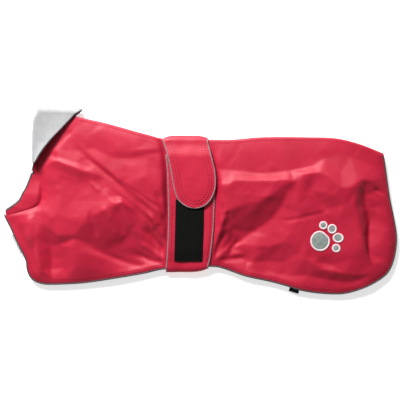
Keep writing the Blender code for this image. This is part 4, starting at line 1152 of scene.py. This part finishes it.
def paw_patch(name, x, y, radius_x, radius_y, fill, border):
    """A raised disc of reflective film inside a raised pale border."""
    angles = np.linspace(0, math.tau, PAW_SIDES, endpoint=False)
    reach = np.ones(PAW_SIDES)
    if name == "paw_pad":
        dent, where, spread = PAD_DENT
        signed = np.where(angles < math.pi, angles, angles - math.tau)
        reach -= dent * np.exp(-((signed - where) / spread) ** 2)
    pieces = []
    inner = 1 - PAW_BORDER / ((radius_x + radius_y) / 2)
    film = ((0.02, 0.45), (0.3, 0.45), (0.6, 0.45), (inner, 0.4), (inner + 0.04, 0.1))
    raised = ((inner - 0.02, 0.15), (inner, 0.6), ((inner * 2 + 1) / 3, 0.72),
              ((inner + 2) / 3, 0.72), (0.985, 0.6), (1, 0.05))
    for label, rings, material in (("_film", film, fill), ("_border", raised, border)):
        shape = bmesh.new()
        loops = []
        for share, rise in rings:
            px = x + radius_x * share * reach * np.cos(angles)
            py = y + radius_y * share * reach * np.sin(angles)
            pz = upper_height(px, py) + rise
            loops.append([shape.verts.new(Vector(place) * MM) for place in zip(px, py, pz)])
        for pair in zip(loops, loops[1:]):
            bridge(shape, *pair)
        if label == "_film":
            shape.faces.new(loops[0])
        bmesh.ops.recalc_face_normals(shape, faces=shape.faces)
        piece = finished(name + label, shape, material)
        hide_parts(name)
        pieces.append(piece)
    return pieces


def side_label(material):
    """The bare black tab between the hems."""
    width, height, thick = LABEL_SIZE
    v = np.linspace(0.5, -0.5, LABEL_ROWS[0])[:, None] * height
    u = np.linspace(-0.5, 0.5, LABEL_ROWS[1])[None, :] * width
    x = LABEL_AT[0] + u * math.cos(LABEL_TURN) - v * math.sin(LABEL_TURN)
    y = LABEL_AT[1] + u * math.sin(LABEL_TURN) + v * math.cos(LABEL_TURN)
    z = LABEL_LEVEL + 0.25 * np.sin(u / 4) + 0 * v
    piece = shell("side_label", np.stack([x, y, z], axis=-1), thick, -1, material)
    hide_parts("label")
    return piece


def chest_tape(material):
    """The pale tape between the chest edges, a little beyond the upper one."""
    outer = smooth(CHEST_TAPE, 1.6)
    plan = np.stack([inset(outer, CHEST_TAPE_WIDTH * share - CHEST_TAPE_SHOWS)
                     for share in np.linspace(0, 1, 10)], axis=1)
    pile = np.random.default_rng(17).uniform(0, CHEST_TAPE_PILE, plan.shape[:2])
    grid = np.concatenate([plan, (CHEST_TAPE_LEVEL + CHEST_TAPE_PLY + pile)[..., None]], axis=-1)
    piece = shell("chest_loop_tape", grid, 2 * CHEST_TAPE_PLY, -1, material)
    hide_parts("chest_tape")
    return piece


def sewing(material):
    """Rows of stitches along the hem, the tongue and the base."""
    rows = []
    outline = smooth(EDGE, 2)
    for depth in HEM_ROWS:
        line = inset(outline, depth)
        line = line[line[:, 0] > HEM_ROWS_END]
        rows.append(np.column_stack([line, upper_height(*line.T) + 0.1]))
    tongue = smooth(TONGUE_EDGE, 1.5)
    for depth in TONGUE_ROWS:
        line = inset(tongue, depth)
        rows.append(np.column_stack([line, tongue_level(line[:, 1]) + 0.15]))
    y = np.linspace(*BASE_ROWS_Y, 60)
    for edge, side in ((BASE_LEFT, 1), (BASE_RIGHT, -1)):
        x = at_level(edge, y) + side * BASE_ROWS
        rows.append(np.column_stack([x, y, bed_level(y) + BASE_TOP + 0.15]))
    return stitches("sewing_thread", rows, material)


# ----------------------------------------------------------------- scene ----
def studio():
    """Pale floor, two lamps and the camera straight above, in metres."""
    shape = bmesh.new()
    bmesh.ops.create_grid(shape, x_segments=8, y_segments=8, size=3)
    floor = finished("floor", shape, pale_floor("floor_pale"))
    floor.location.z = -0.0003
    world = bpy.data.worlds.new("studio")
    world.use_nodes = True
    background = world.node_tree.nodes["Background"].inputs
    background["Color"].default_value = (1, 1, 1, 1)
    background["Strength"].default_value = 0.15
    bpy.context.scene.world = world
    for name, place, size, power in (("key", (-0.75, 1.6, 1.15), (0.9, 0.5), 84),
                                     ("fill", (-1.2, -0.9, 1.4), (1, 1), 2.2)):
        light = bpy.data.lights.new(name, "AREA")
        light.shape = "RECTANGLE"
        light.size, light.size_y = size
        light.energy = power
        lamp = link(bpy.data.objects.new(name, light))
        lamp.location = place
        lamp.rotation_euler = (-Vector(place)).to_track_quat("-Z", "Y").to_euler()
    view = bpy.context.scene.view_settings
    view.view_transform = "Standard"
    view.look = "None"
    camera_data = bpy.data.cameras.new("camera")
    camera_data.lens = LENS
    camera_data.sensor_width = SENSOR
    camera = link(bpy.data.objects.new("camera", camera_data))
    camera.location = (*VIEW_CENTRE, VIEW_LEVEL + VIEW_ACROSS * LENS / SENSOR)
    bpy.context.scene.camera = camera


studio()
red = coated_nylon("coated_nylon_red")
grey = fleece("fleece_grey")
# The same grey binding in two shades: the darker copy on the hem and the collar holds painted
# shade, the lighter copy on the belt painted light.
trim = piping("piping_grey", linear(78, 62, 66))
belt_trim_painted_light = piping("piping_belt_painted_light", linear(150, 126, 130))
body = coat_body(red)
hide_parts("body_upper", "body_lower")
collars = [collar_half(half, half == "upper", red, grey, trim) for half in ("upper", "lower")]
strap, strap_piping = belt(coated_nylon("coated_nylon_belt", 1.06, 0.2), belt_trim_painted_light)
tape = loop_patch(loop_tape("loop_tape_black", linear(7, 7, 6), linear(19, 18, 16), 0.15, 0))
hems = hem_piping(trim)
film = reflective("reflective_film", linear(126, 136, 132), linear(158, 168, 163), 0.38)
edge_film = reflective("reflective_border", linear(240, 214, 217), linear(252, 232, 234), 0.5)
paws = [piece for row in PAW for piece in paw_patch(*row, film, edge_film)]
label = side_label(woven("label_black", linear(26, 26, 26)))
chest = chest_tape(loop_tape("loop_tape_pale", linear(206, 200, 200), linear(236, 232, 232)))
threads = sewing(thread("thread_red"))

pieces = [body, *[piece for collar in collars for piece in collar], strap, strap_piping, tape,
          *hems, *paws, label, chest, threads]
for piece in pieces:
    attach(piece, "root")
